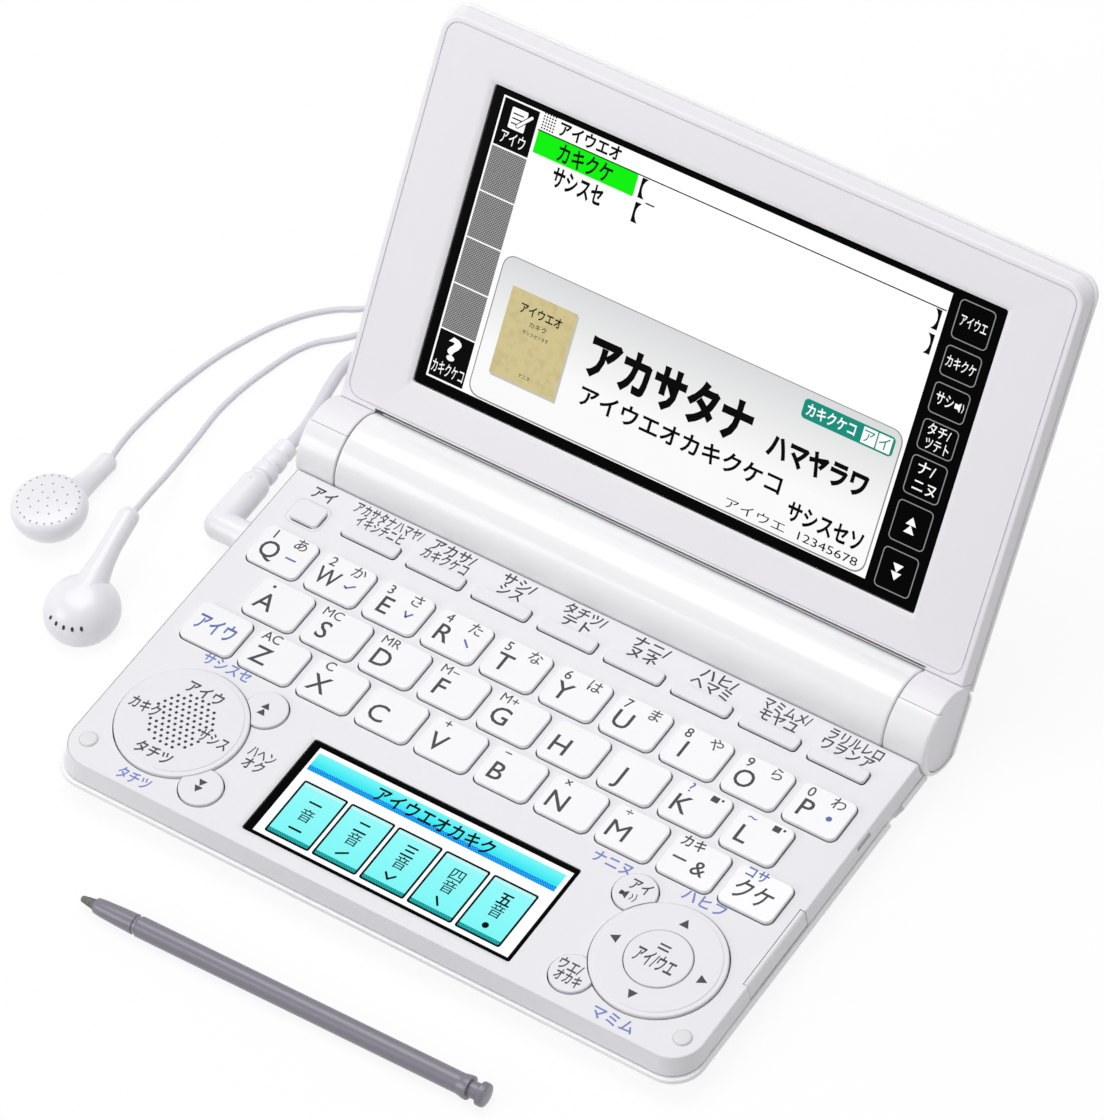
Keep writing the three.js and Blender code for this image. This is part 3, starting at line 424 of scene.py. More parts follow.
    def outward(self) -> "Form":
        """Turns all faces outwards and returns this form."""
        bmesh.ops.recalc_face_normals(self.bm, faces=self.bm.faces[:])
        return self

    def mesh(self, name: str) -> bpy.types.Mesh:
        """Turns the form into a mesh, which uses it up.

        Args:
            name: The mesh's name.

        Returns:
            The mesh, in millimetres.
        """
        mesh = bpy.data.meshes.new(name)
        self.bm.to_mesh(mesh)
        self.bm.free()
        return mesh


def combined(body: Form, others: Sequence[Form], operation: str = "DIFFERENCE") -> Form:
    """Cuts solids out of a body, joins them to it, or keeps what they share.

    Args:
        body: The body, used up.
        others: The solids, used up.
        operation: DIFFERENCE, UNION or INTERSECT.

    Returns:
        A new form.
    """
    host = stood("host", body.mesh("host"))
    helpers = [stood(f"tool{i}", other.mesh("tool")) for i, other in enumerate(others)]
    for helper in helpers:
        step = host.modifiers.new(helper.name, "BOOLEAN")
        step.operation = operation
        step.solver = "EXACT"
        step.object = helper
    bpy.context.view_layer.update()
    graph = bpy.context.evaluated_depsgraph_get()
    result = bpy.data.meshes.new_from_object(host.evaluated_get(graph))
    form = Form()
    form.bm.from_mesh(result)
    bmesh.ops.dissolve_degenerate(form.bm, dist=NEAR, edges=form.bm.edges[:])
    for thing in [host, *helpers]:
        data = thing.data
        bpy.data.objects.remove(thing)
        bpy.data.meshes.remove(data)
    bpy.data.meshes.remove(result)
    return form


def rod(radius: float, x: Pair, y: float, z: float, steps: int = 64, edge: float = 0.0) -> Form:
    """Makes a round bar along X.

    Args:
        radius: Its radius.
        x: Its two ends.
        y: Where its axis is.
        z: Where its axis is.
        steps: Segments round it.
        edge: Edge rounding.

    Returns:
        The bar.
    """
    length = x[1] - x[0]
    profile: list[Pair] = [(0, 0)]
    if edge > 0:
        arc = [(edge * math.sin(a), edge * (1 - math.cos(a))) for a in quarter(4)]
        profile += [(radius - edge + s, c) for s, c in arc]
        profile += [(radius - edge + s, length - c) for s, c in reversed(arc)]
    else:
        profile += [(radius, 0), (radius, length)]
    profile.append((0, length))
    return Form().turned(profile, shift(x[0], y, z) @ spun(TURN / 4, "Y"), steps)


def quarter(count: int) -> list[float]:
    """Returns the angles of a quarter turn in equal steps."""
    return [i / count * TURN / 4 for i in range(count + 1)]


def shoulder(radius: float, top: float, edge: float, count: int = 4) -> list[Pair]:
    """Returns the rounding from a turned solid's side to its top, from below."""
    turns = quarter(count)
    return [(radius - edge + edge * math.cos(a), top - edge + edge * math.sin(a)) for a in turns]


# ---------------------------------------------------------------- finishes


NUMBER = "NodeSocketFloat"
VECTOR = "NodeSocketVector"
TINT = "NodeSocketColor"
BLACK_TINT = (0, 0, 0, 1)


def linear(colour: Sequence[float]) -> tuple[float, float, float, float]:
    """Turns a display colour from 0 to 255 into the linear one that shaders take.

    Args:
        colour: Red, green and blue.

    Returns:
        Red, green, blue and 1.
    """

    def channel(value: float) -> float:
        """Turns one channel."""
        share = value / 255
        return share / 12.92 if share <= 0.04045 else ((share + 0.055) / 1.055) ** 2.4

    red, green, blue = map(channel, colour)
    return (red, green, blue, 1.0)


class Kit:
    """A node tree that is being wired."""

    def __init__(self, tree: bpy.types.NodeTree) -> None:
        """Takes the tree."""
        self.tree = tree

    def give(self, node: bpy.types.Node, inputs: Inputs) -> None:
        """Fills in a node's inputs.

        Args:
            node: The node.
            inputs: A socket to join, or a value, for each input's name or number.
        """
        for key, value in inputs.items():
            if isinstance(value, bpy.types.NodeSocket):
                self.tree.links.new(value, node.inputs[key])
            else:
                node.inputs[key].default_value = value

    def node(self, kind: str, inputs: Inputs | None = None, **settings: object) -> bpy.types.Node:
        """Adds a node.

        Args:
            kind: Blender's name of the node's type.
            inputs: What goes into it.
            **settings: Its properties.

        Returns:
            The node.
        """
        made = self.tree.nodes.new(kind)
        for key, value in settings.items():
            setattr(made, key, value)
        self.give(made, inputs or {})
        return made

    def place(self) -> bpy.types.NodeSocket:
        """Returns the place on the object, in metres."""
        return self.node("ShaderNodeTexCoord").outputs["Object"]

    def noise(self, place: object, scale: object, detail: float) -> bpy.types.NodeSocket:
        """Adds noise, with its scale in waves per metre."""
        inputs = {"Vector": place, "Scale": scale, "Detail": detail}
        return self.node("ShaderNodeTexNoise", inputs).outputs["Fac"]

    def sums(self, kind: str, a: object, b: object) -> bpy.types.NodeSocket:
        """Adds a sum of two sockets or numbers."""
        return self.node("ShaderNodeMath", {0: a, 1: b}, operation=kind).outputs[0]

    def mixed(self, share: object, a: object, b: object) -> bpy.types.NodeSocket:
        """Mixes two colours by the share of the second one."""
        inputs = {"Factor": share, "A": a, "B": b}
        return self.node("ShaderNodeMix", inputs, data_type="RGBA").outputs["Result"]

    def swung(self, value: object, middle: float, reach: object) -> bpy.types.NodeSocket:
        """Returns how far a value is from its middle, times a reach."""
        return self.sums("MULTIPLY", self.sums("SUBTRACT", value, middle), reach)

    def seen(self) -> bpy.types.NodeSocket:
        """Returns 1 for what the camera sees straight, mirrored or through glass, else 0."""
        ray = self.node("ShaderNodeLightPath").outputs
        mirrored = self.sums("MAXIMUM", ray["Is Camera Ray"], ray["Is Glossy Ray"])
        return self.sums("MAXIMUM", mirrored, ray["Is Transmission Ray"])


class Group(Kit):
    """A shader group that is being wired."""

    def __init__(
        self,
        name: str,
        inputs: Sequence[tuple[str, str, object]],
        outputs: Sequence[tuple[str, str]],
    ) -> None:
        """Makes the group with its sockets.

        Args:
            name: The group's name.
            inputs: Name, type and value of each.
            outputs: Name and type of each.
        """
        super().__init__(bpy.data.node_groups.new(name, "ShaderNodeTree"))
        sockets = self.tree.interface
        for label, kind, value in inputs:
            socket = sockets.new_socket(name=label, in_out="INPUT", socket_type=kind)
            socket.default_value = value
        for label, kind in outputs:
            sockets.new_socket(name=label, in_out="OUTPUT", socket_type=kind)
        self.entry = self.node("NodeGroupInput").outputs

    def finished(self, results: Inputs) -> bpy.types.NodeTree:
        """Joins what leaves the group and returns its tree."""
        self.node("NodeGroupOutput", results)
        return self.tree


class Effects:
    """Effects that several finishes share, each built once, with scales in waves per metre."""

    cloud_scale = 42.0
    smear_scale = 150.0
    pixel_scale = 4000.0
    pixel_gap = 0.2
    gap_depth = 0.05
    dither_scale = 3500.0
    fleck_scale = 700.0
    fleck_middle = 0.45
    unlit_darkness = 0.94

    @classmethod
    @cache
    def moulded_skin(cls) -> bpy.types.NodeTree:
        """Returns the group for moulded plastic: colour drift, uneven gloss and fine grain."""
        group = Group(
            "moulded_skin",
            [
                ("Colour", TINT, (0.8, 0.8, 0.8, 1)), ("Drifted", TINT, (0.75, 0.75, 0.75, 1)),
                ("Roughness", NUMBER, 0.4), ("Spread", NUMBER, 0.1), ("Grain", NUMBER, 5200.0),
            ],
            [("Colour", TINT), ("Roughness", NUMBER), ("Height", NUMBER)],
        )
        entry = group.entry
        cloudy = group.noise(group.place(), cls.cloud_scale, 3)
        smears = group.noise(group.place(), cls.smear_scale, 4)
        uneven = group.swung(smears, 0.5, entry["Spread"])
        return group.finished({
            "Colour": group.mixed(cloudy, entry["Colour"], entry["Drifted"]),
            "Roughness": group.sums("ADD", uneven, entry["Roughness"]),
            "Height": group.noise(group.place(), entry["Grain"], 2),
        })

    @classmethod
    @cache
    def display_pixels(cls) -> bpy.types.NodeTree:
        """Returns the group for a lit display: a faded or dithered colour in picture points."""
        group = Group(
            "display_pixels",
            [
                ("Place", VECTOR, (0, 0, 0)), ("Colour", TINT, (1, 1, 1, 1)),
                ("Second", TINT, BLACK_TINT), ("Fade", NUMBER, 0.0),
                ("Dither", NUMBER, 0.0), ("Cloudy", NUMBER, 0.0),
            ],
            [("Colour", TINT), ("Unlit", TINT)],
        )
        entry = group.entry
        place = entry["Place"]
        sized = group.node(
            "ShaderNodeVectorMath", {0: place, "Scale": cls.pixel_scale}, operation="SCALE"
        )
        cell = group.node("ShaderNodeVectorMath", {0: sized.outputs[0]}, operation="FRACTION")
        parts = group.node("ShaderNodeSeparateXYZ", {0: cell.outputs[0]}).outputs
        across, along = (group.sums("LESS_THAN", parts[axis], cls.pixel_gap) for axis in "XY")
        gaps = group.sums("MULTIPLY", group.sums("MAXIMUM", across, along), cls.gap_depth)
        chequer = group.node(
            "ShaderNodeTexChecker", {"Vector": place, "Scale": cls.dither_scale}
        ).outputs["Fac"]
        dither = group.sums("MULTIPLY", chequer, entry["Dither"])
        flecks = group.noise(place, cls.fleck_scale, 4)
        cloudy = group.swung(flecks, cls.fleck_middle, entry["Cloudy"])
        share = group.sums("ADD", group.sums("ADD", entry["Fade"], dither), cloudy)
        faded = group.mixed(share, entry["Colour"], entry["Second"])
        dimmed = group.mixed(gaps, faded, BLACK_TINT)
        unlit = group.mixed(cls.unlit_darkness, dimmed, BLACK_TINT)
        return group.finished({"Colour": dimmed, "Unlit": unlit})


@dataclass(frozen=True)
class Skin:
    """A finish, with its colour from 0 to 255."""

    name: str
    colour: Colour

    def material(self) -> bpy.types.Material:
        """Returns the finish's material, built once."""
        made = bpy.data.materials.get(self.name)
        if made is None:
            made = bpy.data.materials.new(self.name)
            made.use_nodes = True
            self.wire(Kit(made.node_tree), made.node_tree.nodes["Principled BSDF"])
        return made

    def wire(self, kit: Kit, shader: bpy.types.Node) -> None:
        """Wires the material's nodes."""
        raise NotImplementedError


@dataclass(frozen=True)
class Moulded(Skin):
    """A moulded plastic, or another skin with a soft colour drift and a fine grain."""

    roughness: float
    drift: float = 0.985
    spread: float = 0.08
    grain: float = 5200.0
    bump: float = 0.04
    bump_depth: float = 0.0001
    coat: float = 0.0
    coat_roughness: float = 0.05
    specular: float = 0.5
    metallic: float = 0.0
    subsurface: float = 0.0
    subsurface_reach: Point = (0.0012, 0.001, 0.0009)

    def wire(self, kit: Kit, shader: bpy.types.Node) -> None:
        """Wires the skin's drift, gloss, grain and coat.

        Args:
            kit: The material's tree.
            shader: Its shader.
        """
        base = linear(self.colour)
        inputs: Inputs = {
            "Colour": base, "Drifted": tuple(c * self.drift for c in base[:3]) + (1,),
            "Roughness": self.roughness, "Spread": self.spread, "Grain": self.grain,
        }
        skin = kit.node("ShaderNodeGroup", inputs, node_tree=Effects.moulded_skin()).outputs
        relief: Inputs = {
            "Strength": self.bump, "Distance": self.bump_depth, "Height": skin["Height"]
        }
        kit.give(shader, {
            "Base Color": skin["Colour"], "Roughness": skin["Roughness"],
            "Normal": kit.node("ShaderNodeBump", relief).outputs["Normal"],
            "Metallic": self.metallic, "Specular IOR Level": self.specular,
            "Coat Weight": self.coat, "Coat Roughness": self.coat_roughness,
        })
        if self.subsurface > 0:
            kit.give(shader, {
                "Subsurface Weight": self.subsurface, "Subsurface Radius": self.subsurface_reach
            })


class Fill(Enum):
    """How a lit colour fills its shape."""

    PLAIN = "plain"
    UP = "up"
    DITHER = "dither"


@dataclass(frozen=True)
class Lit(Skin):
    """A colour of a lit display, plain, fading to a second one, or dithered with it."""

    second: Colour = (0, 0, 0)
    fill: Fill = Fill.PLAIN
    span: Pair = (0, 1)
    on_lid: bool = True
    strength: float = 0.93
    cloudy: float = 0.0
    roughness: float = 0.35
    specular: float = 0.02

    def wire(self, kit: Kit, shader: bpy.types.Node) -> None:
        """Wires the picture points on the sheet that the display's surface is.

        Args:
            kit: The material's tree.
            shader: Its shader.
        """
        sheet = kit.node("ShaderNodeMapping", {"Vector": kit.place()}, vector_type="POINT")
        if self.on_lid:
            back = spun(-HINGE.open_angle, "X")
            kit.give(sheet, {
                "Rotation": (-HINGE.open_angle, 0, 0),
                "Location": -(back @ Vector((0, HINGE.y, HINGE.z))) * MM,
            })
        place = sheet.outputs["Vector"]
        inputs: Inputs = {
            "Place": place, "Colour": linear(self.colour), "Second": linear(self.second),
            "Dither": 1.0 if self.fill is Fill.DITHER else 0.0, "Cloudy": self.cloudy,
        }
        if self.fill is Fill.UP:
            up = kit.node("ShaderNodeSeparateXYZ", {0: place}).outputs["Y"]
            low, high = (end * MM for end in self.span)
            fade: Inputs = {"Value": up, "From Min": low, "From Max": high}
            inputs["Fade"] = kit.node("ShaderNodeMapRange", fade).outputs["Result"]
        cells = kit.node("ShaderNodeGroup", inputs, node_tree=Effects.display_pixels()).outputs
        kit.give(shader, {
            "Emission Color": cells["Colour"], "Emission Strength": self.strength,
            "Base Color": cells["Unlit"], "Roughness": self.roughness,
            "Specular IOR Level": self.specular,
        })


class Finish:
    """The finishes of the object."""

    DECK = Moulded("deck_plastic", (238, 237, 241), 0.42, bump=0.05)
    WHITE = Moulded("white_plastic", (248, 248, 250), 0.22, coat=0.3, bump=0.02)
    KEY = Moulded("key_plastic", (250, 250, 252), 0.24, coat=0.25, bump=0.02)
    FACE = Moulded("lid_plastic", (243, 241, 246), 0.4, bump=0.04)
    SILVER = Moulded("silver_plastic", (237, 236, 241), 0.36, bump=0.04)
    FILM = Moulded("black_glass", (6, 6, 7), 0.1, drift=0.9, bump=0.01, specular=0.015)
    CORD = Moulded("cord_skin", (226, 224, 233), 0.5, bump=0.06, subsurface=0.05)
    BUD = Moulded("bud_plastic", (243, 242, 247), 0.3, coat=0.2, bump=0.02)
    STYLUS = Moulded("pen_grey", (127, 123, 136), 0.34, drift=0.95, coat=0.35)
    STYLUS_TIP = Moulded("stylus_tip", (106, 106, 104), 0.45, drift=0.94)
    RUBBER = Moulded("rubber_pale", (234, 234, 237), 0.55, drift=0.97, bump=0.12, grain=3600)
    # Painted shade: a grey for the face-up bud's sound holes and the plug's dimples, standing in
    # for the shade inside them.
    HOLE_SHADE = Moulded("painted_hole_shade", (150, 148, 156), 0.7, drift=0.9)
    # Painted shade: a dark grey for the slit between the lid and the barrel, the sides of the power
    # and function keys down in the deck's gaps, the speaker's holes and the face-down bud's slots.
    SHADE_DARK = Moulded("painted_dark_shade", (46, 46, 50), 0.7, drift=0.9)
    # Painted shade: a grey for the sides of the letter keys down in the deck's gaps.
    SHADE = Moulded("painted_gap_shade", (128, 127, 132), 0.7)
    INK = Moulded("dark_ink", (42, 42, 48), 0.5, drift=0.92, bump=0.05)
    BLUE_INK = Moulded("blue_ink", (112, 128, 200), 0.5, drift=0.95, bump=0.05)
    # Painted shade: a pale grey for the groove line round the power key and the ring round each
    # bumper's foot.
    GROOVE_SHADE = Moulded("painted_groove_shade", (206, 205, 210), 0.5, drift=0.95)
    TONE_INK = Moulded("tone_ink", (84, 100, 176), 0.5, drift=0.95, bump=0.05)
    STEEL = Moulded("spring_steel", (176, 178, 184), 0.3, metallic=1.0, drift=0.9, grain=2600)
    BOARD = Moulded("board_lacquer", (46, 104, 66), 0.45, drift=0.8, coat=0.4, grain=1400, bump=0.4)
    SLEEVE = Moulded("sleeve_film", (70, 112, 158), 0.35, drift=0.9, coat=0.3)
    SPEAKER = Moulded("speaker_black", (60, 60, 62), 0.6, drift=0.85, grain=2400, bump=0.3)
    PAGE = Lit("page_white", (254, 254, 254), strength=1.0)
    BLACK = Lit("page_black", (6, 6, 7))
    DITHER = Lit("page_dither", (176, 176, 176), (66, 66, 66), Fill.DITHER)
    PANEL = Lit("page_panel", (254, 254, 254), (222, 223, 224), Fill.UP, (32.0, 51.0))
    LINE = Lit("page_line", (150, 150, 152))
    DIM = Lit("page_dim", (196, 198, 200))
    GREEN = Lit("page_green", (14, 246, 14))
    TEAL = Lit("page_teal", (26, 146, 126))
    TAN = Lit("page_tan", (214, 200, 148), (150, 136, 88), cloudy=0.9)
    PAD_PAGE = Lit("pad_page", (254, 254, 254), on_lid=False, strength=1.0)
    PAD_BLACK = Lit("pad_black", (6, 6, 7), on_lid=False)
    PAD_CYAN = Lit("pad_cyan", (128, 250, 249), (150, 255, 255), Fill.UP, (-36, -23), False)
    PAD_PALE = Lit("pad_pale", (190, 252, 250), on_lid=False)
    PAD_DEEP = Lit("pad_deep", (10, 120, 118), (40, 200, 200), Fill.DITHER, on_lid=False)
    PAD_HEAD = Lit("pad_head", (40, 236, 246), (120, 250, 252), Fill.UP, (-18.4, -15.4), False)
    PAD_BLUE = Lit("pad_blue", (18, 96, 236), (30, 200, 240), Fill.DITHER, on_lid=False)


# ---------------------------------------------------------------- pieces


def place_piece(
    name: str,
    form: Form,
    skins: Sequence[Skin],
    body: str,
    nodes: Sequence[str] = (),
    sharp: float = 32.0,
) -> bpy.types.Object:
    """Turns a form into a finished piece on its body.

    Args:
        name: The piece's name.
        form: Its shape, which is used up.
        skins: Its finishes, in order.
        body: The body it rides on.
        nodes: The plain solids it stands for.
        sharp: Angle from which edges stay crisp.

    Returns:
        The piece.
    """
    mesh = form.mesh(name)
    mesh.transform(Matrix.Scale(MM, 4))
    for skin in skins:
        mesh.materials.append(skin.material())
    mesh.shade_smooth()
    mesh.set_sharp_from_angle(angle=sharp * DEGREE)
    piece = stood(name, mesh)
    even = piece.modifiers.new("even_shading", "WEIGHTED_NORMAL")
    even.keep_sharp = True
    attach(piece, body)
    if nodes:
        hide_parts(*nodes)
    LOG.info("%s: %d faces on %s", name, len(mesh.polygons), body)
    return piece


# ---------------------------------------------------------------- printed marks


class Marks:
    """Thin printed shapes on a surface, each a closed solid in one ink."""

    thickness = 0.03
    step = 0.012
    letter_height = 0.682
    thin_only = "M4四音"
    sheets: dict[tuple[str, float], bpy.types.Mesh] = {}

    def __init__(self) -> None:
        """Starts with no marks."""
        self.form = Form()
        self.inks: list[Skin] = []

    def _levels(self, layer: int) -> Pair:
        """Returns the bottom and the top of a layer."""
        return -self.thickness / 2, self.thickness / 2 + layer * self.step

    def _take(self, shape: Form, ink: Skin) -> None:
        """Adds a shape in an ink, which uses the shape up."""
        if ink not in self.inks:
            self.inks.append(ink)
        self.form.add(shape.inked(self.inks.index(ink) + 1))

    def bar(self, x: Pair, y: Pair, ink: Skin, layer: int = 0, corner: float = SQUARE) -> None:
        """Prints a filled rectangle."""
        self._take(Form().block(x, y, self._levels(layer), corner).outward(), ink)

    def frame(self, x: Pair, y: Pair, line: float, ink: Skin, corner: float) -> None:
        """Prints a line round a rectangle.

        Args:
            x: Left and right.
            y: Its bottom and top.
            line: The line's width, inwards.
            ink: Its finish.
            corner: Corner radius.
        """
        low, high = self._levels(0)
        shape = Form()
        face = shape.outline(x, y, low, corner, steps=4)
        made = bmesh.ops.inset_region(shape.bm, faces=[face], thickness=line, use_boundary=True)
        bmesh.ops.delete(shape.bm, geom=[face], context="FACES_ONLY")
        raised = bmesh.ops.extrude_face_region(shape.bm, geom=made["faces"])["geom"]
        ring = [g for g in raised if isinstance(g, bmesh.types.BMVert)]
        bmesh.ops.translate(shape.bm, vec=(0, 0, high - low), verts=ring)
        self._take(shape.outward(), ink)

    def disc(self, at: Pair, radius: float, ink: Skin, layer: int = 0, steps: int = 20) -> None:
        """Prints a filled round."""
        rings = [(z, radius) for z in self._levels(layer)]
        self._take(Form().post(at, rings, steps), ink)

    def arrow(self, at: Pair, size: Pair, ink: Skin, layer: int = 0, turned: float = 0.0) -> None:
        """Prints a filled triangle.

        Args:
            at: Its middle.
            size: Its width and height.
            ink: Its finish.
            layer: Its height in layers.
            turned: Its turn in degrees.
        """
        low, high = self._levels(layer)
        profile = [(0, low), (1, low), (1, high), (0, high)]
        shape = Form().turned(profile, spun(TURN / 4, "Z"), 3)
        scale = Matrix.Diagonal((size[0] / math.sqrt(3), size[1] / 1.5, 1, 1))
        shape.moved(shift(*at, 0) @ spun(turned * DEGREE, "Z") @ shift(0, -size[1] / 6, 0) @ scale)
        self._take(shape.outward(), ink)

    def stroke(self, dots: Sequence[Pair], width: float, ink: Skin, layer: int = 0) -> None:
        """Prints straight strokes from dot to dot, round at the dots.

        Args:
            dots: The dots.
            width: The line's width.
            ink: Its finish.
            layer: Its height in layers.
        """
        for (x0, y0), (x1, y1) in zip(dots, dots[1:]):
            along = wider((0, math.hypot(x1 - x0, y1 - y0)), width / 2)
            across = about(0, width / 2)
            shape = Form().block(along, across, self._levels(layer), width * 0.45, 3)
            shape.moved(shift(x0, y0, 0) @ spun(math.atan2(y1 - y0, x1 - x0), "Z"))
            self._take(shape.outward(), ink)

    def text(
        self,
        body: str,
        at: Pair,
        height: float,
        ink: Skin,
        width: float | None = None,
        layer: int = 0,
        bold: float = 0.006,
    ) -> None:
        """Prints letters, centred on a place.

        Args:
            body: The letters.
            at: The middle of the text.
            height: The height of a capital.
            ink: Its finish.
            width: The whole width, if not the natural one.
            layer: Its height in layers.
            bold: How far strokes are thickened.
        """
        if set(body) & set(self.thin_only):
            bold = 0.0
        key = (body, bold)
        if key not in self.sheets:
            self.sheets[key] = self._sheet(body, bold)
        low, high = self._levels(layer)
        shape = Form()
        shape.bm.from_mesh(self.sheets[key])
        x0, x1, *_ = extents(shape.bm.verts)
        tall = height / self.letter_height
        wide = tall if width is None else width / (x1 - x0)
        centre = shift(-(x0 + x1) / 2, -self.letter_height / 2, 0.5)
        shape.moved(shift(*at, low) @ Matrix.Diagonal((wide, tall, high - low, 1)) @ centre)
        self._take(shape, ink)

    def texts(
        self,
        rows: Iterable[tuple[str, float, float, float, float | None]],
        ink: Skin,
        layer: int = 0,
        bold: float = 0.006,
    ) -> None:
        """Prints several texts alike, from rows of letters, x, y, height and width."""
        for body, x, y, height, width in rows:
            self.text(body, (x, y), height, ink, width, layer, bold)

    def _sheet(self, body: str, bold: float) -> bpy.types.Mesh:
        """Cuts letters out of a sheet one unit thick.

        Args:
            body: The letters.
            bold: How far strokes are thickened.

        Returns:
            The letters as closed solids.
        """
        data = bpy.data.curves.new("letters", "FONT")
        data.body = body
        data.size = 1
        data.resolution_u = 3
        data.offset = bold
        data.extrude = 0.5
        holder = stood("letters", data)
        bpy.context.view_layer.update()
        graph = bpy.context.evaluated_depsgraph_get()
        mesh = bpy.data.meshes.new_from_object(holder.evaluated_get(graph))
        bpy.data.objects.remove(holder)
        bpy.data.curves.remove(data)
        joined = bmesh.new()
        joined.from_mesh(mesh)
        bmesh.ops.remove_doubles(joined, verts=joined.verts[:], dist=NEAR / 10)
        for face in joined.faces:
            face.smooth = False
        joined.to_mesh(mesh)
        joined.free()
        mesh.materials.clear()
        return mesh

    def onto(self, form: Form, place: Matrix) -> list[Skin]:
        """Lays the marks onto a form and returns the finishes after the form's own."""
        form.add(self.form, place)
        return self.inks


# ---------------------------------------------------------------- studio


@dataclass
class Studio:
    """Camera, lamps, world and floor."""

    eye: Point = (0.488165, -0.615767, 1.017002)
    turn: Point = (39.50802, 3.16569, 33.38553)
    lens: float = 216.52
    film_width: float = 36.0
    view_end: float = 20.0
    floor_size: float = 6.0
    floor_z: float = -0.00002
    floor_colour: Colour = (0.84, 0.84, 0.84)
    floor_glow: float = 0.86
    glow_strength: float = 1.03
    sky: float = 0.4

    def camera(self) -> None:
        """Sets the camera where the photograph was taken from."""
        data = bpy.data.cameras.new("camera")
        data.lens = self.lens
        data.sensor_width = self.film_width
        data.sensor_fit = "HORIZONTAL"
        data.clip_end = self.view_end
        camera = stood("camera", data)
        camera.location = self.eye
        camera.rotation_euler = [a * DEGREE for a in self.turn]
        bpy.context.scene.camera = camera

    def lamp(self, name: str, at: Point, size: float, power: float) -> None:
        """Hangs a soft square lamp that shines at the object.

        Args:
            name: Its name.
            at: Where it hangs, in metres.
            size: Its width, in metres.
            power: Its power, in watts.
        """
        data = bpy.data.lights.new(name, "AREA")
        data.energy = power
        data.size = size
        lamp = stood(name, data)
        lamp.location = at
        aim = Vector((0, 0.02, 0.02)) - Vector(at)
        lamp.rotation_euler = aim.to_track_quat("-Z", "Y").to_euler()

    def light(self) -> None:
        """Sets the lamps and the world."""
        self.lamp("overhead", (-0.3, 0.25, 1.5), 1.1, 12.0)
        self.lamp("front", (-1.1, -1.2, 0.8), 0.9, 8.0)
        world = bpy.data.worlds.new("studio")
        world.use_nodes = True
        kit = Kit(world.node_tree)
        raised = kit.sums("MULTIPLY", kit.seen(), 1 - self.sky)
        kit.give(world.node_tree.nodes["Background"], {
            "Color": (1, 1, 1, 1), "Strength": kit.sums("ADD", raised, self.sky)
        })
        bpy.context.scene.world = world
        bpy.context.scene.view_settings.view_transform = "Standard"

    def floor(self) -> None:
        """Lays the pale floor, white where the camera sees it, with the object's shadow."""
        form = Form()
        span = about(0, self.floor_size / 2)
        form.outline(span, span, 0, SQUARE)
        mesh = form.mesh("floor")
        floor = stood("floor", mesh)
        floor.location.z = self.floor_z
        made = bpy.data.materials.new("floor_white")
        made.use_nodes = True
        nodes = made.node_tree.nodes
        nodes.remove(nodes["Principled BSDF"])
        kit = Kit(made.node_tree)
        cloth = kit.node("ShaderNodeBsdfDiffuse", {"Color": (*self.floor_colour, 1)})
        glow = kit.node("ShaderNodeEmission", {"Strength": self.glow_strength})
        mix = kit.node("ShaderNodeMixShader", {
            "Fac": kit.sums("MULTIPLY", kit.seen(), self.floor_glow),
            1: cloth.outputs["BSDF"], 2: glow.outputs["Emission"],
        })
        kit.give(nodes["Material Output"], {"Surface": mix.outputs["Shader"]})
        mesh.materials.append(made)


# ---------------------------------------------------------------- earphones


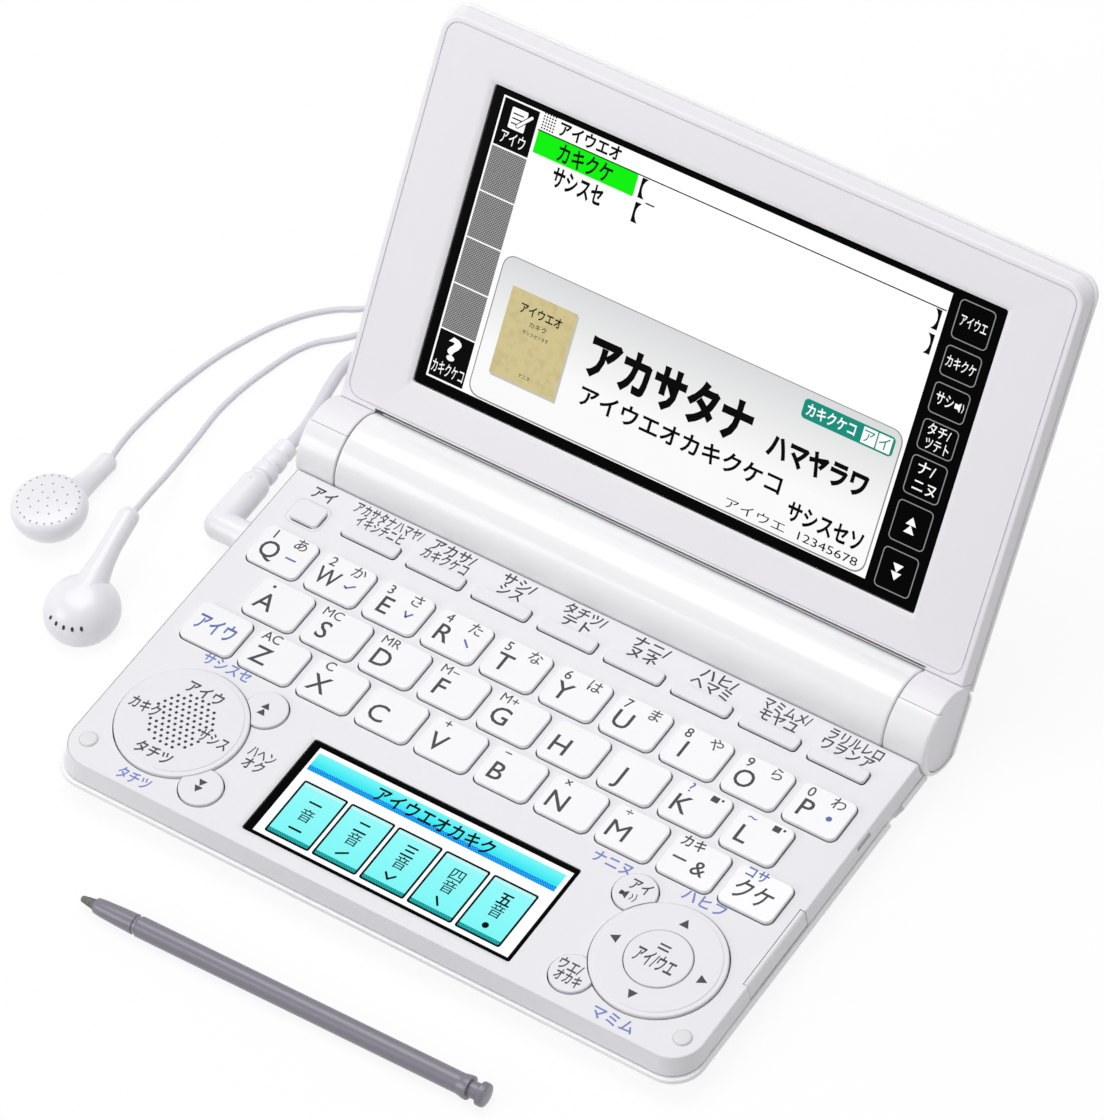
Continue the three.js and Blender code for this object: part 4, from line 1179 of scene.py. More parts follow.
@dataclass
class Earphones:
    """Plug, twin cord with its coil, splitter, two leads and two buds."""

    plug_x: float = -80.8
    collar_end: float = -70.6
    twin_diameter: float = 2.6
    lead_diameter: float = 1.3
    coil_at: Pair = (-50.0, 90.5)
    coil_radius: float = 20.0
    coil_pitch: float = 3.5
    coil_rise: float = 3.1
    turns_in: float = 4.0
    turns_level: float = 0.5
    turns_out: float = 3.53
    steps_per_turn: int = 16
    tail: tuple[float, ...] = (5.0, 9.5, 13.5, 17.5, 21.5, 26.0)
    tail_level: float = 9.0
    tail_slope: float = 13.0
    rest: float = 1.35
    bud_radius: float = 7.9
    bud_height: float = 8.8
    bud_lie: float = 0.05
    bud_lean: float = 10 * DEGREE
    dome_from: float = 0.66
    slot_share: float = 0.81
    bud_shares: tuple[Pair, ...] = (
        (0, 0), (0, 0.25), (0.02, 0.4), (0.07, 0.56), (0.15, 0.7), (0.27, 0.82), (0.4, 0.915),
        (0.53, 0.975), (0.66, 1), (0.76, 0.99), (0.85, 0.95), (0.915, 0.885), (0.945, 0.8),
        (0.962, 0.66), (0.98, 0.42), (0.992, 0.2), (1, 0),
    )
    neck: tuple[Point, ...] = (
        (-2.4, 4.5, 3.4), (0.8, 3.7, 3.45), (3.6, 3.5, 3.45), (5.8, 3.25, 3.18), (7.6, 2.98, 2.88),
        (9.4, 2.7, 2.56), (11.5, 2.46, 2.33), (14, 2.3, 2.2),
    )
    pieces: dict[str, bpy.types.Object] = field(default_factory=dict)

    twin_route: tuple[Point, ...] = (
        (-80.8, 47.9, 4.4), (-80.8, 49.45, 4.35), (-80.8, 50.8, 4.2), (-81.4, 55.2, 3),
        (-83, 62, 1.5), (-84.4, 69.2, 1.35), (-84.9, 75.2, 1.35), (-83.4, 80.2, 1.35),
        (-79.4, 82.4, 1.35), (-74.6, 80.8, 1.35), (-69.6, 76, 1.35), (-64, 71.8, 1.35),
        (-58.5, 70.6, 1.35), (-53.5, 70.5, 1.35),
    )
    near_route: tuple[Point, ...] = (
        (-15.87, 79.7, 1), (-9.83, 80.85, 1), (4, 81.6, 0.7), (20, 81.4, 0.7),
        (36, 83, 0.7), (47, 89.5, 0.7), (50, 100, 0.7), (44, 110.5, 0.7),
        (30, 116, 0.7), (10, 117.6, 0.7), (-14, 118, 0.7), (-38, 118, 0.7),
        (-56, 115.6, 0.7), (-68, 109.8, 0.7), (-75.5, 102, 0.7), (-81.5, 92.6, 0.7),
        (-88.7, 82.45, 0.7), (-94.9, 75.95, 0.7), (-98.3, 66.45, 0.7), (-100.5, 53.35, 0.7),
        (-99.9, 43.6, 1.1), (-98, 32.6, 3.8), (-96, 22.8, 7.4), (-94.03, 13.24, 10.64),
    )
    far_route: tuple[Point, ...] = (
        (-15.37, 77.05, 1), (-9.32, 78.2, 1), (4, 78.6, 0.7), (20, 78.4, 0.7),
        (37, 80, 0.7), (49.6, 87.6, 0.7), (53, 100, 0.7), (46, 112.9, 0.7),
        (31, 118.8, 0.7), (10, 120.2, 0.7), (-14, 120.6, 0.7), (-39, 120.9, 0.7),
        (-58, 118.6, 0.7), (-71, 112.6, 0.7), (-80, 103.6, 0.7), (-86, 95, 0.7),
        (-91.1, 89.85, 0.7), (-95.7, 86.85, 0.7), (-101.5, 80.65, 0.7), (-107.2, 69.55, 0.7),
        (-110.7, 57.35, 0.7), (-112.5, 42.05, 0.78), (-112.1, 34.3, 1.5), (-111.09, 29.77, 2.35),
    )

    def cord_piece(self, name: str, points: Sequence[Point], diameter: float) -> bpy.types.Object:
        """Lays a cord along a route.

        Args:
            name: The piece's name.
            points: The route.
            diameter: Its diameter.

        Returns:
            The curve.
        """
        data = bpy.data.curves.new(name, "CURVE")
        data.dimensions = "3D"
        data.bevel_depth = diameter / 2 * MM
        data.bevel_resolution = 3
        data.resolution_u = 5
        data.use_fill_caps = True
        spline = data.splines.new("BEZIER")
        spline.bezier_points.add(len(points) - 1)
        for dot, place in zip(spline.bezier_points, points):
            dot.co = Vector(place) * MM
            dot.handle_left_type = "AUTO"
            dot.handle_right_type = "AUTO"
        data.materials.append(Finish.CORD.material())
        piece = stood(name, data)
        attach(piece, "base")
        return piece

    def coil_radius_at(self, turns: float) -> float:
        """Returns the coil's radius after some turns."""
        wound_in = min(turns, self.turns_in)
        wound_out = max(turns - self.turns_in - self.turns_level, 0)
        return self.coil_radius + (wound_out - wound_in) * self.coil_pitch

    def coil_points(self) -> list[Point]:
        """Returns the coil's line: wound in on the floor, up, and wound out on top."""
        total = self.turns_in + self.turns_level + self.turns_out
        steps = round(total * self.steps_per_turn)
        points: list[Point] = []
        for i in range(steps + 1):
            turns = i / steps * total
            angle = -TURN / 4 + turns * TURN
            radius = self.coil_radius_at(turns)
            climb = min(max((turns - self.turns_in) / self.turns_level, 0), 1)
            x = self.coil_at[0] + radius * math.cos(angle)
            y = self.coil_at[1] + radius * math.sin(angle)
            points.append((x, y, self.rest + self.coil_rise * climb))
        angle = -TURN / 4 + total * TURN
        heading = Vector((-math.sin(angle), math.cos(angle), 0))
        last = Vector(points[-1])
        for along in self.tail:
            share = min(max((along - self.tail_level) / self.tail_slope, 0), 1)
            spot = last + heading * along
            spot.z = last.z - self.coil_rise * share * share * (3 - 2 * share)
            points.append(tuple(spot))
        return points

    def cords(self) -> None:
        """Lays the three cords."""
        twin = list(self.twin_route) + self.coil_points()
        self.pieces["twin"] = self.cord_piece("earphone_twin_cord", twin, self.twin_diameter)
        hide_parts("earphone_cord", "earphone_coil")
        for key, route in (("near", self.near_route), ("far", self.far_route)):
            name = "earphone_lead_" + key
            self.pieces[key] = self.cord_piece(name, route, self.lead_diameter)

    def splitter(self) -> None:
        """Builds the small block where the twin cord becomes two leads."""
        x = (0.3, 11.3)
        layers = [(x, about(0, half), z) for half, z in ((2.0, -1.3), (2.7, 0.3), (2.2, 1.9))]
        form = Form().stack(layers, 1.2, steps=5).soften(0.5, 3, 25)
        heading = math.atan2(0.18738, 0.98229)
        form.moved(shift(-21.02, 77.34, self.rest) @ spun(heading, "Z")).outward()
        self.pieces["split"] = place_piece(
            "earphone_split", form, [Finish.BUD], "base", ["earphone_leads"]
        )

    def plug(self) -> None:
        """Builds the elbow plug with its pin, its ribbed relief and dimples drawn as pegs of
        painted shade.
        """
        x, y, z = self.plug_x, DECK.jack_y, DECK.jack_z
        stops = sorted((-3.22 * math.cos(a), 3.22 * math.sin(a)) for a in quarter(7)[1:])
        stops += [(11.6, 3.2), (12.6, 3.1), (13.4, 2.75), (13.8, 2.45)]
        for i in range(3):
            start = 13.9 + i * 10 / 3
            swell = 2.72 - 0.2 * i
            stops += [(start + 0.1, 2.1), (start + 0.6, 2.1), (start + 0.8, swell - 0.15)]
            stops += [(start + 1.1, swell), (start + 2.7, swell - 0.06), (start + 3.1, 2.3)]
        stops += [(23.95, 1.95), (24.1, 1.6)]
        body = Form().swept([((x, y + along, z), radius) for along, radius in stops], 40)
        stops = [(-80.7, 3.05), (-80.4, 3.2), (-73.6, 3.2), (-73.3, 2.9)]
        arm = Form().swept([((across, y, z), radius) for across, radius in stops], 40)
        collar = rod(2.6, (-76.0, self.collar_end), y, z, 32)
        form = combined(body, [arm, collar], "UNION").outward()
        pin = [
            (0, 0), (1.75, 0), (1.75, 8.3), (1.45, 8.8), (1.75, 9.6), (1.7, 10.8), (0.95, 11.5),
            (0, 11.5),
        ]
        pin_place = shift(self.collar_end, y, z) @ spun(TURN / 4, "Y")
        form.add(Form().turned(pin, pin_place, 32).inked(1))
        # The dimples are dark pegs of painted shade, standing in for the shade in real dimples.
        for along, lift in ((11.3, 3.14), (15.6, 2.62), (19.0, 2.42), (22.2, 2.22)):
            dimple = rod(0.26, (0, 0.6), 0, 0, 12).inked(2)
            form.add(dimple, shift(x, y + along, z + lift - 0.55) @ spun(-TURN / 4, "Y"))
        skins = [Finish.BUD, Finish.STEEL, Finish.HOLE_SHADE]
        self.pieces["plug"] = place_piece(
            "plug_body", form, skins, "base", ["earphone_plug"]
        )

    def skin_at(self, share: float, face: bool) -> float:
        """Returns how high a bud's skin is.

        Args:
            share: The share of the radius.
            face: Whether the face is meant, not the dome.

        Returns:
            The height.
        """
        side = sorted((r, z) for z, r in self.bud_shares if (z > self.dome_from) == face)
        near = next(i for i, (r, _) in enumerate(side[1:]) if r >= share)
        (r0, z0), (r1, z1) = side[near], side[near + 1]
        return self.bud_height * (z0 + (z1 - z0) * (share - r0) / (r1 - r0))

    def bud_form(self, face_up: bool) -> Form:
        """Shapes a bud on its own axis.

        Args:
            face_up: Whether its sound holes show.

        Returns:
            The bud, with its face at the top.
        """
        profile = [(self.bud_radius * r, self.bud_height * z) for z, r in self.bud_shares]
        dome = Form().turned(profile, Matrix.Identity(4), 64)
        end = 19.0 if face_up else 22.4
        tip = [(end - back, 2.3, radius) for back, radius in ((1.4, 2.2), (1.0, 2.15), (0.4, 1.9))]
        neck = [*self.neck, *tip, (end, 2.3, 1.5)]
        stem = Form().swept([((0, y, z), r) for y, z, r in neck], 36)
        form = combined(dome, [stem], "UNION").outward()
        if face_up:
            self.sound_holes(form)
        else:
            self.vent_slots(form)
        return form

    def sound_holes(self, form: Form) -> None:
        """Dots the rings of small round holes on a bud's face, as grey pegs of painted shade.

        Args:
            form: The bud.
        """
        for share, count in ((0.8, 26), (0.5, 11), (0.25, 5), (0.0, 1)):
            z = self.skin_at(max(share, 0.01), True)
            reach = self.bud_radius * share
            for i in range(count):
                angle = (i + share) * TURN / count
                at = (reach * math.cos(angle), reach * math.sin(angle))
                # Each hole is a grey peg of painted shade.
                form.add(Form().post(at, [(z - 0.4, 0.19), (z + 0.03, 0.19)], 10).inked(1))

    def vent_slots(self, form: Form) -> None:
        """Lays the row of small slots on a bud's dome, as dark pegs of painted shade.

        Args:
            form: The bud.
        """
        z = self.skin_at(self.slot_share, False)
        slope = spun(-47 * DEGREE, "Y") @ Matrix.Diagonal((1.7, 1, 1, 1))
        reach = self.bud_radius * self.slot_share
        for i in range(5):
            at = spun((-57 - i * 16.6) * DEGREE, "Z") @ shift(reach, 0, 0)
            # Each slot is a dark peg of painted shade.
            peg = Form().post((0, 0), [(-0.09, 0.3), (0.8, 0.3)], 14).inked(1)
            form.add(peg, at @ shift(0, 0, z) @ slope)

    def buds(self) -> None:
        """Builds both buds where they lie."""
        lift = self.bud_height + 7.6 * 0.53 * math.sin(self.bud_lean) + self.bud_lie
        left = shift(-112.1, 10.5, self.bud_lie) @ spun(-3 * DEGREE, "Z")
        right = shift(-91.9, -7.4, lift) @ spun(6 * DEGREE, "Z") @ spun(self.bud_lean, "X")
        right = right @ spun(TURN / 2, "Y")
        # The buds' holes and slots get painted shade: grey on the face-up bud, dark on the other.
        for side, place, holes in (("left", left, Finish.HOLE_SHADE), ("right", right, Finish.SHADE_DARK)):
            form = self.bud_form(side == "left").moved(place)
            name, node = "bud_" + side, "earbud_" + side
            skins = [Finish.BUD, holes]
            self.pieces[name] = place_piece(name, form, skins, "base", [node], 40)

    def build(self) -> None:
        """Builds all that hangs on the cords."""
        self.splitter()
        self.plug()
        self.buds()


# ---------------------------------------------------------------- base


@dataclass
class Base:
    """Lower case, upper case, barrel and battery door."""

    wall: float = 1.4
    bay_radius: float = 7.5

    def layer(self, side: float, front: float, z: float, back: float = 0.0) -> Layer:
        """Returns an outline off the deck's edge: out at the sides and front, in at the back."""
        y = (-DECK.half_y - front, DECK.rear - back)
        return about(0, DECK.half_x + side), y, z

    def rooms(self) -> list[Form]:
        """Returns the rooms that the hinge and the plug's collar take out of the cases."""
        hinge = rod(HINGE.clear, (-80, 80), HINGE.y, HINGE.z, 96)
        return [hinge, rod(2.9, (-80, -70), DECK.jack_y, DECK.jack_z, 32)]

    def lower(self) -> None:
        """Builds the dish with its rim."""
        layers = [
            self.layer(-3.2, -3.0, 0.0), self.layer(-0.7, 0.0, 1.6), self.layer(1.2, 2.1, 5.2),
            self.layer(1.0, 1.9, 5.8), self.layer(0.7, 1.6, 6.0), self.layer(-0.7, 0.0, 6.0, 1),
            self.layer(-2.1, -1.4, 1.5, 2),
        ]
        form = Form().stack(layers, DECK.corner, SQUARE, 8).outward()
        form.level(0.0, 0.5).level(5.2, 0.3)
        notch = Form().block((71.3, 76), (29.3, 34.1), (-1.0, 7.0), 1.0)
        eye = Form().block((69.5, 72), (32.3, 33.6), (2.4, 4.6), 0.3)
        cut = combined(form, [*self.rooms(), notch.outward(), eye.outward()])
        place_piece("case_lower", cut, [Finish.WHITE], "base", ["lower_case"])

    def upper(self, holes: Sequence[Form]) -> None:
        """Builds the deck with its slanted walls.

        Args:
            holes: What is cut out of it, which is used up.
        """
        wall, side, front = self.wall, DECK.flare_side, DECK.flare_front
        layers = [
            self.layer(-wall, -wall, DECK.under, wall),
            self.layer(side - wall, front - wall, DECK.seam_top, wall),
            self.layer(side, front, DECK.seam_top),
            self.layer(0, 0, DECK.top - 0.01),
            self.layer(0, 0, DECK.top),
        ]
        form = Form().stack(layers, DECK.corner, SQUARE, 8).outward()
        bmesh.ops.dissolve_limit(
            form.bm, angle_limit=0.5 * DEGREE, verts=form.bm.verts[:], edges=form.bm.edges[:]
        )
        form.level(DECK.top, DECK.chamfer)
        cut = combined(form, [*self.rooms(), *holes])
        place_piece("case_upper", cut, [Finish.DECK], "base", ["upper_case"])

    def barrel(self) -> None:
        """Builds the barrel between the knuckles, open where the battery door sits."""
        body = rod(HINGE.radius, about(0, HINGE.half), HINGE.y, HINGE.z, 96, 0.5)
        bay = rod(self.bay_radius, (-54.5, 54.5), HINGE.y, HINGE.z, 64)
        opening = self.ring_slice((7.1, HINGE.radius + 2), (-77, 17), 53.3)
        shafts = rod(HINGE.shaft_room, (-80, 80), HINGE.y, HINGE.z, 32)
        cut = combined(body, [bay, shafts, opening])
        skins = [Finish.WHITE]
        place_piece("barrel_shell", cut, skins, "base", ["hinge_barrel"], 40)

    def ring_slice(self, radii: Pair, angles: Pair, half: float) -> Form:
        """Shapes a slice of a tube about the hinge axis.

        Args:
            radii: Its inner and outer radius.
            angles: Its lower and upper angle in degrees from +Y.
            half: Half its length.

        Returns:
            The slice.
        """
        form = Form()
        (inner, outer), (low, high) = radii, angles
        corners = [(-half, inner), (half, inner), (half, outer), (-half, outer)]
        face = form.bm.faces.new([form.bm.verts.new((x, r, 0)) for x, r in corners])
        bmesh.ops.spin(
            form.bm, geom=[face, *face.edges, *face.verts], cent=(0, 0, 0), axis=(1, 0, 0),
            angle=(high - low) * DEGREE, steps=24,
        )
        place = shift(0, HINGE.y, HINGE.z) @ spun(low * DEGREE, "X")
        return form.outward().moved(place).outward()

    def battery_door(self) -> None:
        """Builds the sliding door of the battery bay."""
        form = self.ring_slice((self.bay_radius, HINGE.radius), (-75, 15), 53).soften(0.3, 2, 40)
        ridges = [self.ring_slice((9.05, 9.9), (low, low + 2.5), 9) for low in (-42, -36, -30)]
        node = "battery_cover"
        place_piece(
            "battery_door", combined(form, ridges), [Finish.WHITE], node, [node]
        )

    def inner_nodes(self, nodes: dict[str, bpy.types.Object]) -> None:
        """Gives the inner parts their finishes.

        Args:
            nodes: The plain solids by name.
        """
        skins = {
            "main_board": Finish.BOARD, "speaker": Finish.SPEAKER, "hinge_shaft_left": Finish.STEEL,
            "hinge_shaft_right": Finish.STEEL, "battery_left": Finish.SLEEVE,
            "battery_right": Finish.SLEEVE,
        }
        for name, skin in skins.items():
            data = nodes[name].data
            data.materials.clear()
            data.materials.append(skin.material())


# ---------------------------------------------------------------- keys


@dataclass
class Keys:
    """All caps of the deck and the holes they stand in."""

    pitch: Pair = (13.8707, 11.3498)
    size: Pair = (12.0009, 9.7994)
    row_y: float = 21.7498
    corner: float = 1.6
    proud: float = 0.8
    flange: float = 0.35
    flange_low: float = 7.9
    flange_top: float = 8.3
    # Height below which the caps' sides get painted shade, where they stand in the deck's gaps.
    gap_line: float = 10.2
    power_at: Pair = (-63.8, 32.65)
    power_size: Pair = (6.6, 5.0)
    function_x: float = 5.2
    function_y: float = 33.25
    function_pitch: float = 15.5194
    function_size: Pair = (12.7988, 2.9999)
    dial_at: Pair = (54.9507, -23.2497)
    dial_radius: float = 13.3
    dial_top: float = 11.0
    dial_edge: float = 0.3
    dial_rim: float = 1.0
    rim_slope: float = 0.16
    rim_step: float = 0.14
    enter_radius: float = 6.6
    enter_top: float = 11.2
    corner_radius: float = 4.4
    corner_at: Pair = (42.65, 11.0)
    corner_top: float = 10.8
    room: float = 0.27
    key_flare: float = 0.05
    round_flare: float = 0.06

    rows: tuple[tuple[str, ...], ...] = (
        ("q", "w", "e", "r", "t", "y", "u", "i", "o", "p"),
        ("a", "s", "d", "f", "g", "h", "j", "k", "l"),
        ("shift", "z", "x", "c", "v", "b", "n", "m", "symbol", "delete"),
    )
    corner_names: tuple[tuple[str, int, int], ...] = (
        ("page_up", -1, 1), ("page_down", -1, -1), ("voice", 1, 1), ("back", 1, -1),
    )

    def places(self) -> dict[str, Pair]:
        """Returns the middle of each letter key."""
        found: dict[str, Pair] = {}
        for row, names in enumerate(self.rows):
            for i, name in enumerate(names):
                x = (i - (len(names) - 1) / 2) * self.pitch[0]
                found[name] = (x, self.row_y - row * self.pitch[1])
        return found

    def function_places(self) -> list[float]:
        """Returns the x of each function key."""
        return [self.function_x + (i - 3.5) * self.function_pitch for i in range(8)]

    def dial_middle(self, side: int) -> Pair:
        """Returns the middle of the left (-1) or right (1) dial."""
        return (side * self.dial_at[0], self.dial_at[1])

    def corner_middle(self, side: int, end: int) -> Pair:
        """Returns the middle of the corner key at the left or right, in front or behind."""
        return (side * self.corner_at[0], self.dial_at[1] + end * self.corner_at[1])

    def hole(self, at: Pair, size: Pair, corner: float = 1.75) -> Form:
        """Shapes the cutter of a key's hole, with a small flare at the deck.

        Args:
            at: The key's middle.
            size: The key's width and depth.
            corner: Corner radius.

        Returns:
            The cutter.
        """
        x, y = (about(at[i], size[i] / 2 + self.room) for i in (0, 1))
        flare = self.key_flare
        wide_x, wide_y = wider(x, flare), wider(y, flare)
        layers = [
            (x, y, DECK.cut_from), (x, y, DECK.top - flare), (wide_x, wide_y, DECK.top),
            (wide_x, wide_y, DECK.top + 2),
        ]
        return Form().stack(layers, corner, steps=5).outward()

    def round_hole(self, at: Pair, radius: float) -> Form:
        """Shapes the cutter of a round hole.

        Args:
            at: Its middle.
            radius: Radius of what stands in it.

        Returns:
            The cutter.
        """
        flare = self.round_flare
        tight = radius + self.room
        wide = tight + flare
        rings = [(DECK.cut_from, tight), (DECK.top - flare, tight), (DECK.top, wide), (12.5, wide)]
        return Form().post(at, rings, 72)

    def holes(self) -> list[Form]:
        """Returns the cutters of all holes, in sets that don't touch each other."""
        keys = Form()
        for at in self.places().values():
            keys.add(self.hole(at, self.size))
        keys.add(self.hole(self.power_at, self.power_size))
        for x in self.function_places():
            keys.add(self.hole((x, self.function_y), self.function_size, 0.95))
        corners = Form()
        for side in (-1, 1):
            keys.add(self.round_hole(self.dial_middle(side), self.dial_radius))
            for end in (-1, 1):
                corners.add(self.round_hole(self.corner_middle(side, end), self.corner_radius))
        return [keys, corners]

    def cap(self, at: Pair, size: Pair, corner: float, edge: float = 0.24) -> Form:
        """Shapes a key cap with its flange.

        Args:
            at: The key's middle.
            size: The key's width and depth.
            corner: Corner radius.
            edge: Edge rounding.

        Returns:
            The cap.
        """
        x, y = (about(at[i], size[i] / 2) for i in (0, 1))
        wide_x, wide_y = wider(x, self.flange), wider(y, self.flange)
        top = DECK.top + self.proud
        layers = [
            (wide_x, wide_y, self.flange_low), (wide_x, wide_y, self.flange_top),
            (x, y, self.flange_top), (x, y, self.gap_line), (x, y, top),
        ]
        return Form().stack(layers, corner, steps=5).outward().level(top, edge, 4)

    def legend(self, name: str) -> Marks:
        """Prints a letter key's legend about the key's middle.

        Args:
            name: The key's name.

        Returns:
            The marks.
        """
        marks = Marks()
        dark, blue = Finish.INK, Finish.TONE_INK
        if name in self.rows[0]:
            column = self.rows[0].index(name)
            marks.text("1234567890"[column], (-3.6, 3.15), 2.2, dark)
            marks.text("あかさたなはまやらわ"[column], (2.5, 3.1), 2.25, dark)
        if len(name) == 1:
            low = -1.0 if name in self.rows[2] else -0.8
            wide = {"q": 4.1, "o": 4.1, "m": 4.2, "w": 5.0, "i": 0.62}.get(name)
            marks.text(name.upper(), (-2.55, low), 4.1, dark, wide)
        small = {
            "s": "MC", "d": "MR", "f": "M−", "g": "M+",
            "z": "AC", "x": "C", "v": "+", "b": "−", "n": "×", "m": "÷",
        }
        if name in small:
            marks.text(small[name], (-3.0, 3.5 if name in "sdfg" else 3.75), 2.1, dark)
        if name == "a":
            marks.disc((-3.1, 3.2), 0.36, dark)
        strokes = {
            "q": [(1.5, -0.9), (3.6, -0.9)], "w": [(1.7, -0.95), (2.2, -1.25), (3.6, -0.1)],
            "e": [(1.8, -0.1), (2.5, -1.3), (3.4, -0.1)], "r": [(1.9, -0.1), (3.3, -1.4)],
        }
        marks.stroke(strokes.get(name, []), 0.42, blue)
        if name == "p":
            marks.disc((2.6, -0.8), 0.62, blue)
        if name in "kl":
            marks.text("?" if name == "k" else "~", (-3.0, 3.6), 2.3, blue)
            marks.bar((1.6, 3.2), (2.7, 4.1), dark)
            marks.disc((3.9, 3.8), 0.3, dark)
        if name == "shift":
            marks.text("アイウ", (-0.2, 0), 3.2, blue, 8.8, bold=0.02)
        if name == "symbol":
            marks.bar((-4.4, -1.4), (-0.7, -0.25), dark)
            marks.text("&", (1.7, -0.8), 3.3, dark)
            marks.text("カキ", (-2.3, 3.7), 2.1, dark, 5.0, bold=0.02)
        if name == "delete":
            marks.text("クケ", (-0.3, -0.6), 3.8, dark, 8.0, bold=0.01)
            marks.text("コサ", (-1.9, 3.7), 2.0, blue, 4.6, bold=0.02)
        return marks

    def letters(self) -> None:
        """Builds the letter keys with their legends, and painted shade on their sides down in the
        deck's gaps.
        """
        top = DECK.top + self.proud
        for name, at in self.places().items():
            form = self.cap(at, self.size, self.corner)
            inks = self.legend(name).onto(form, shift(*at, top))
            # Painted shade: the sides below the gap line are grey, for the shade in the deck's
            # gaps.
            skins = [Finish.KEY, *inks, Finish.SHADE]
            form.sunk(self.gap_line, len(inks) + 1)
            place_piece("cap_" + name, form, skins, "key_" + name, ["key_" + name])

    def power(self) -> None:
        """Builds the power key, with painted shade on its sides down in the deck's gap."""
        # Painted shade: the sides below the gap line are dark.
        form = self.cap(self.power_at, self.power_size, 0.9, 0.18).sunk(self.gap_line, 1)
        skins = [Finish.DECK, Finish.SHADE_DARK]
        place_piece("cap_power", form, skins, "key_power", ["key_power"])

    def functions(self) -> None:
        """Builds the comb of slim function keys, with painted shade on their sides down in the
        deck's gaps.
        """
        places = self.function_places()
        bar_y = about(self.function_y, 1)
        form = Form().block((places[0], places[-1]), bar_y, (7.8, self.flange_top))
        top = DECK.top + self.proud
        y = about(self.function_y, self.function_size[1] / 2)
        for middle in places:
            x = about(middle, self.function_size[0] / 2)
            layers = [(x, y, z) for z in (self.flange_low, self.gap_line, top)]
            form.add(Form().stack(layers, 0.8, steps=4).outward().level(top, 0.2))
        # Painted shade: the sides below the gap line are dark.
        form.sunk(self.gap_line, 1)
        skins = [Finish.SILVER, Finish.SHADE_DARK]
        place_piece("function_caps", form, skins, "function_keys", ["function_keys"])

    def rim(self) -> list[Pair]:
        """Returns a dial's outer edge and the step inside it, as radii and heights."""
        radius, top = self.dial_radius, self.dial_top
        arc = shoulder(radius, top - self.rim_step, self.dial_edge)
        inside = radius - self.dial_rim
        return [*arc, (inside, top - self.rim_step), (inside - self.rim_slope, top)]

    def round_cap(self, at: Pair, radius: float, top: float, edge: Sequence[Pair]) -> Form:
        """Shapes a round cap from the radii and heights of its edge."""
        profile = [(0, self.flange_top), (radius, self.flange_top), *edge, (0, top)]
        return Form().turned(profile, shift(*at, 0), 80)

    def round_piece(self, name: str, node: str, form: Form, marks: Marks, place: Matrix) -> None:
        """Finishes a round control, with its marks laid on their place."""
        skins = [Finish.SILVER, *marks.onto(form, place)]
        place_piece(name, form, skins, node, [node])

    def left_dial(self) -> None:
        """Builds the left dial with its labels and the speaker's holes, drawn as dark discs of
        painted shade.
        """
        at = self.dial_middle(-1)
        form = self.round_cap(at, self.dial_radius, self.dial_top, self.rim())
        marks = Marks()
        rows = (
            ("アイウ", 0, 7.95, 2.3, 8.2), ("カキク", -8.3, -0.65, 2.3, 6.6),
            ("サシス", 8.0, -0.65, 2.3, 6.6), ("タチツ", -0.3, -9.1, 2.3, 8.2),
        )
        marks.texts(rows, Finish.INK, bold=0.02)
        # The speaker's holes are dark discs of painted shade.
        for x, y in self.hole_places(6.8, 1.42):
            if abs(x) < 4.9 or not -2.2 < y < 1.0:
                marks.disc((x, y), 0.34, Finish.SHADE_DARK, steps=12)
        self.round_piece("dial_left", "rocker_disc", form, marks, shift(*at, self.dial_top))

    def right_ring(self) -> None:
        """Builds the ring round the enter key with its four arrows."""
        at = self.dial_middle(1)
        inner, edge = self.enter_radius + 0.16, 0.2
        low = self.dial_top - edge
        lip = [(inner + edge * (1 - math.sin(a)), low + edge * math.cos(a)) for a in quarter(3)]
        foot = [(inner, self.flange_top), (self.dial_radius, self.flange_top)]
        form = Form().turned([*foot, *self.rim(), *lip], shift(*at, 0), 80, closed=True)
        marks = Marks()
        for turned in (0, 90, 180, 270):
            spin = turned * DEGREE
            place = (-9.9 * math.sin(spin), 9.6 * math.cos(spin))
            marks.arrow(place, (2.1, 1.9), Finish.INK, 0, turned)
        self.round_piece("dial_ring", "navigation_ring", form, marks, shift(*at, self.dial_top))

    def enter(self) -> None:
        """Builds the enter key in the ring's middle."""
        at, radius, top = self.dial_middle(1), self.enter_radius, self.enter_top
        form = self.round_cap(at, radius, top, shoulder(radius, top, 0.25))
        marks = Marks()
        for y in (1.9, 2.9):
            marks.bar((-1.5, 0.9), (y, y + 0.42), Finish.INK)
        marks.text("アイ/ウエ", (-0.2, -1.0), 2.9, Finish.INK, 8.6, bold=0.02)
        self.round_piece("cap_enter", "key_enter", form, marks, shift(*at, top))

    def corner_keys(self) -> None:
        """Builds the four round keys that are tucked under the dials' edges."""
        radius, top = self.corner_radius, self.corner_top
        for name, side, end in self.corner_names:
            at = self.corner_middle(side, end)
            form = self.round_cap(at, radius, top, shoulder(radius, top, 0.22))
            reach = self.dial_radius + 0.2
            bite = Form().post(self.dial_middle(side), [(DECK.cut_from, reach), (13.0, reach)], 80)
            form = combined(form, [bite])
            marks = self.corner_legend(name)
            self.round_piece("cap_" + name, "key_" + name, form, marks, shift(*at, top))

    def hole_places(self, reach: float, pitch: float) -> list[Pair]:
        """Returns the places of a hexagonal pattern of small holes within a circle."""
        found = []
        for row in range(-6, 7):
            for column in range(-6, 7):
                x = (column + (row % 2) / 2) * pitch
                y = row * pitch * math.sqrt(3) / 2
                if math.hypot(x, y) <= reach:
                    found.append((x, y))
        return found

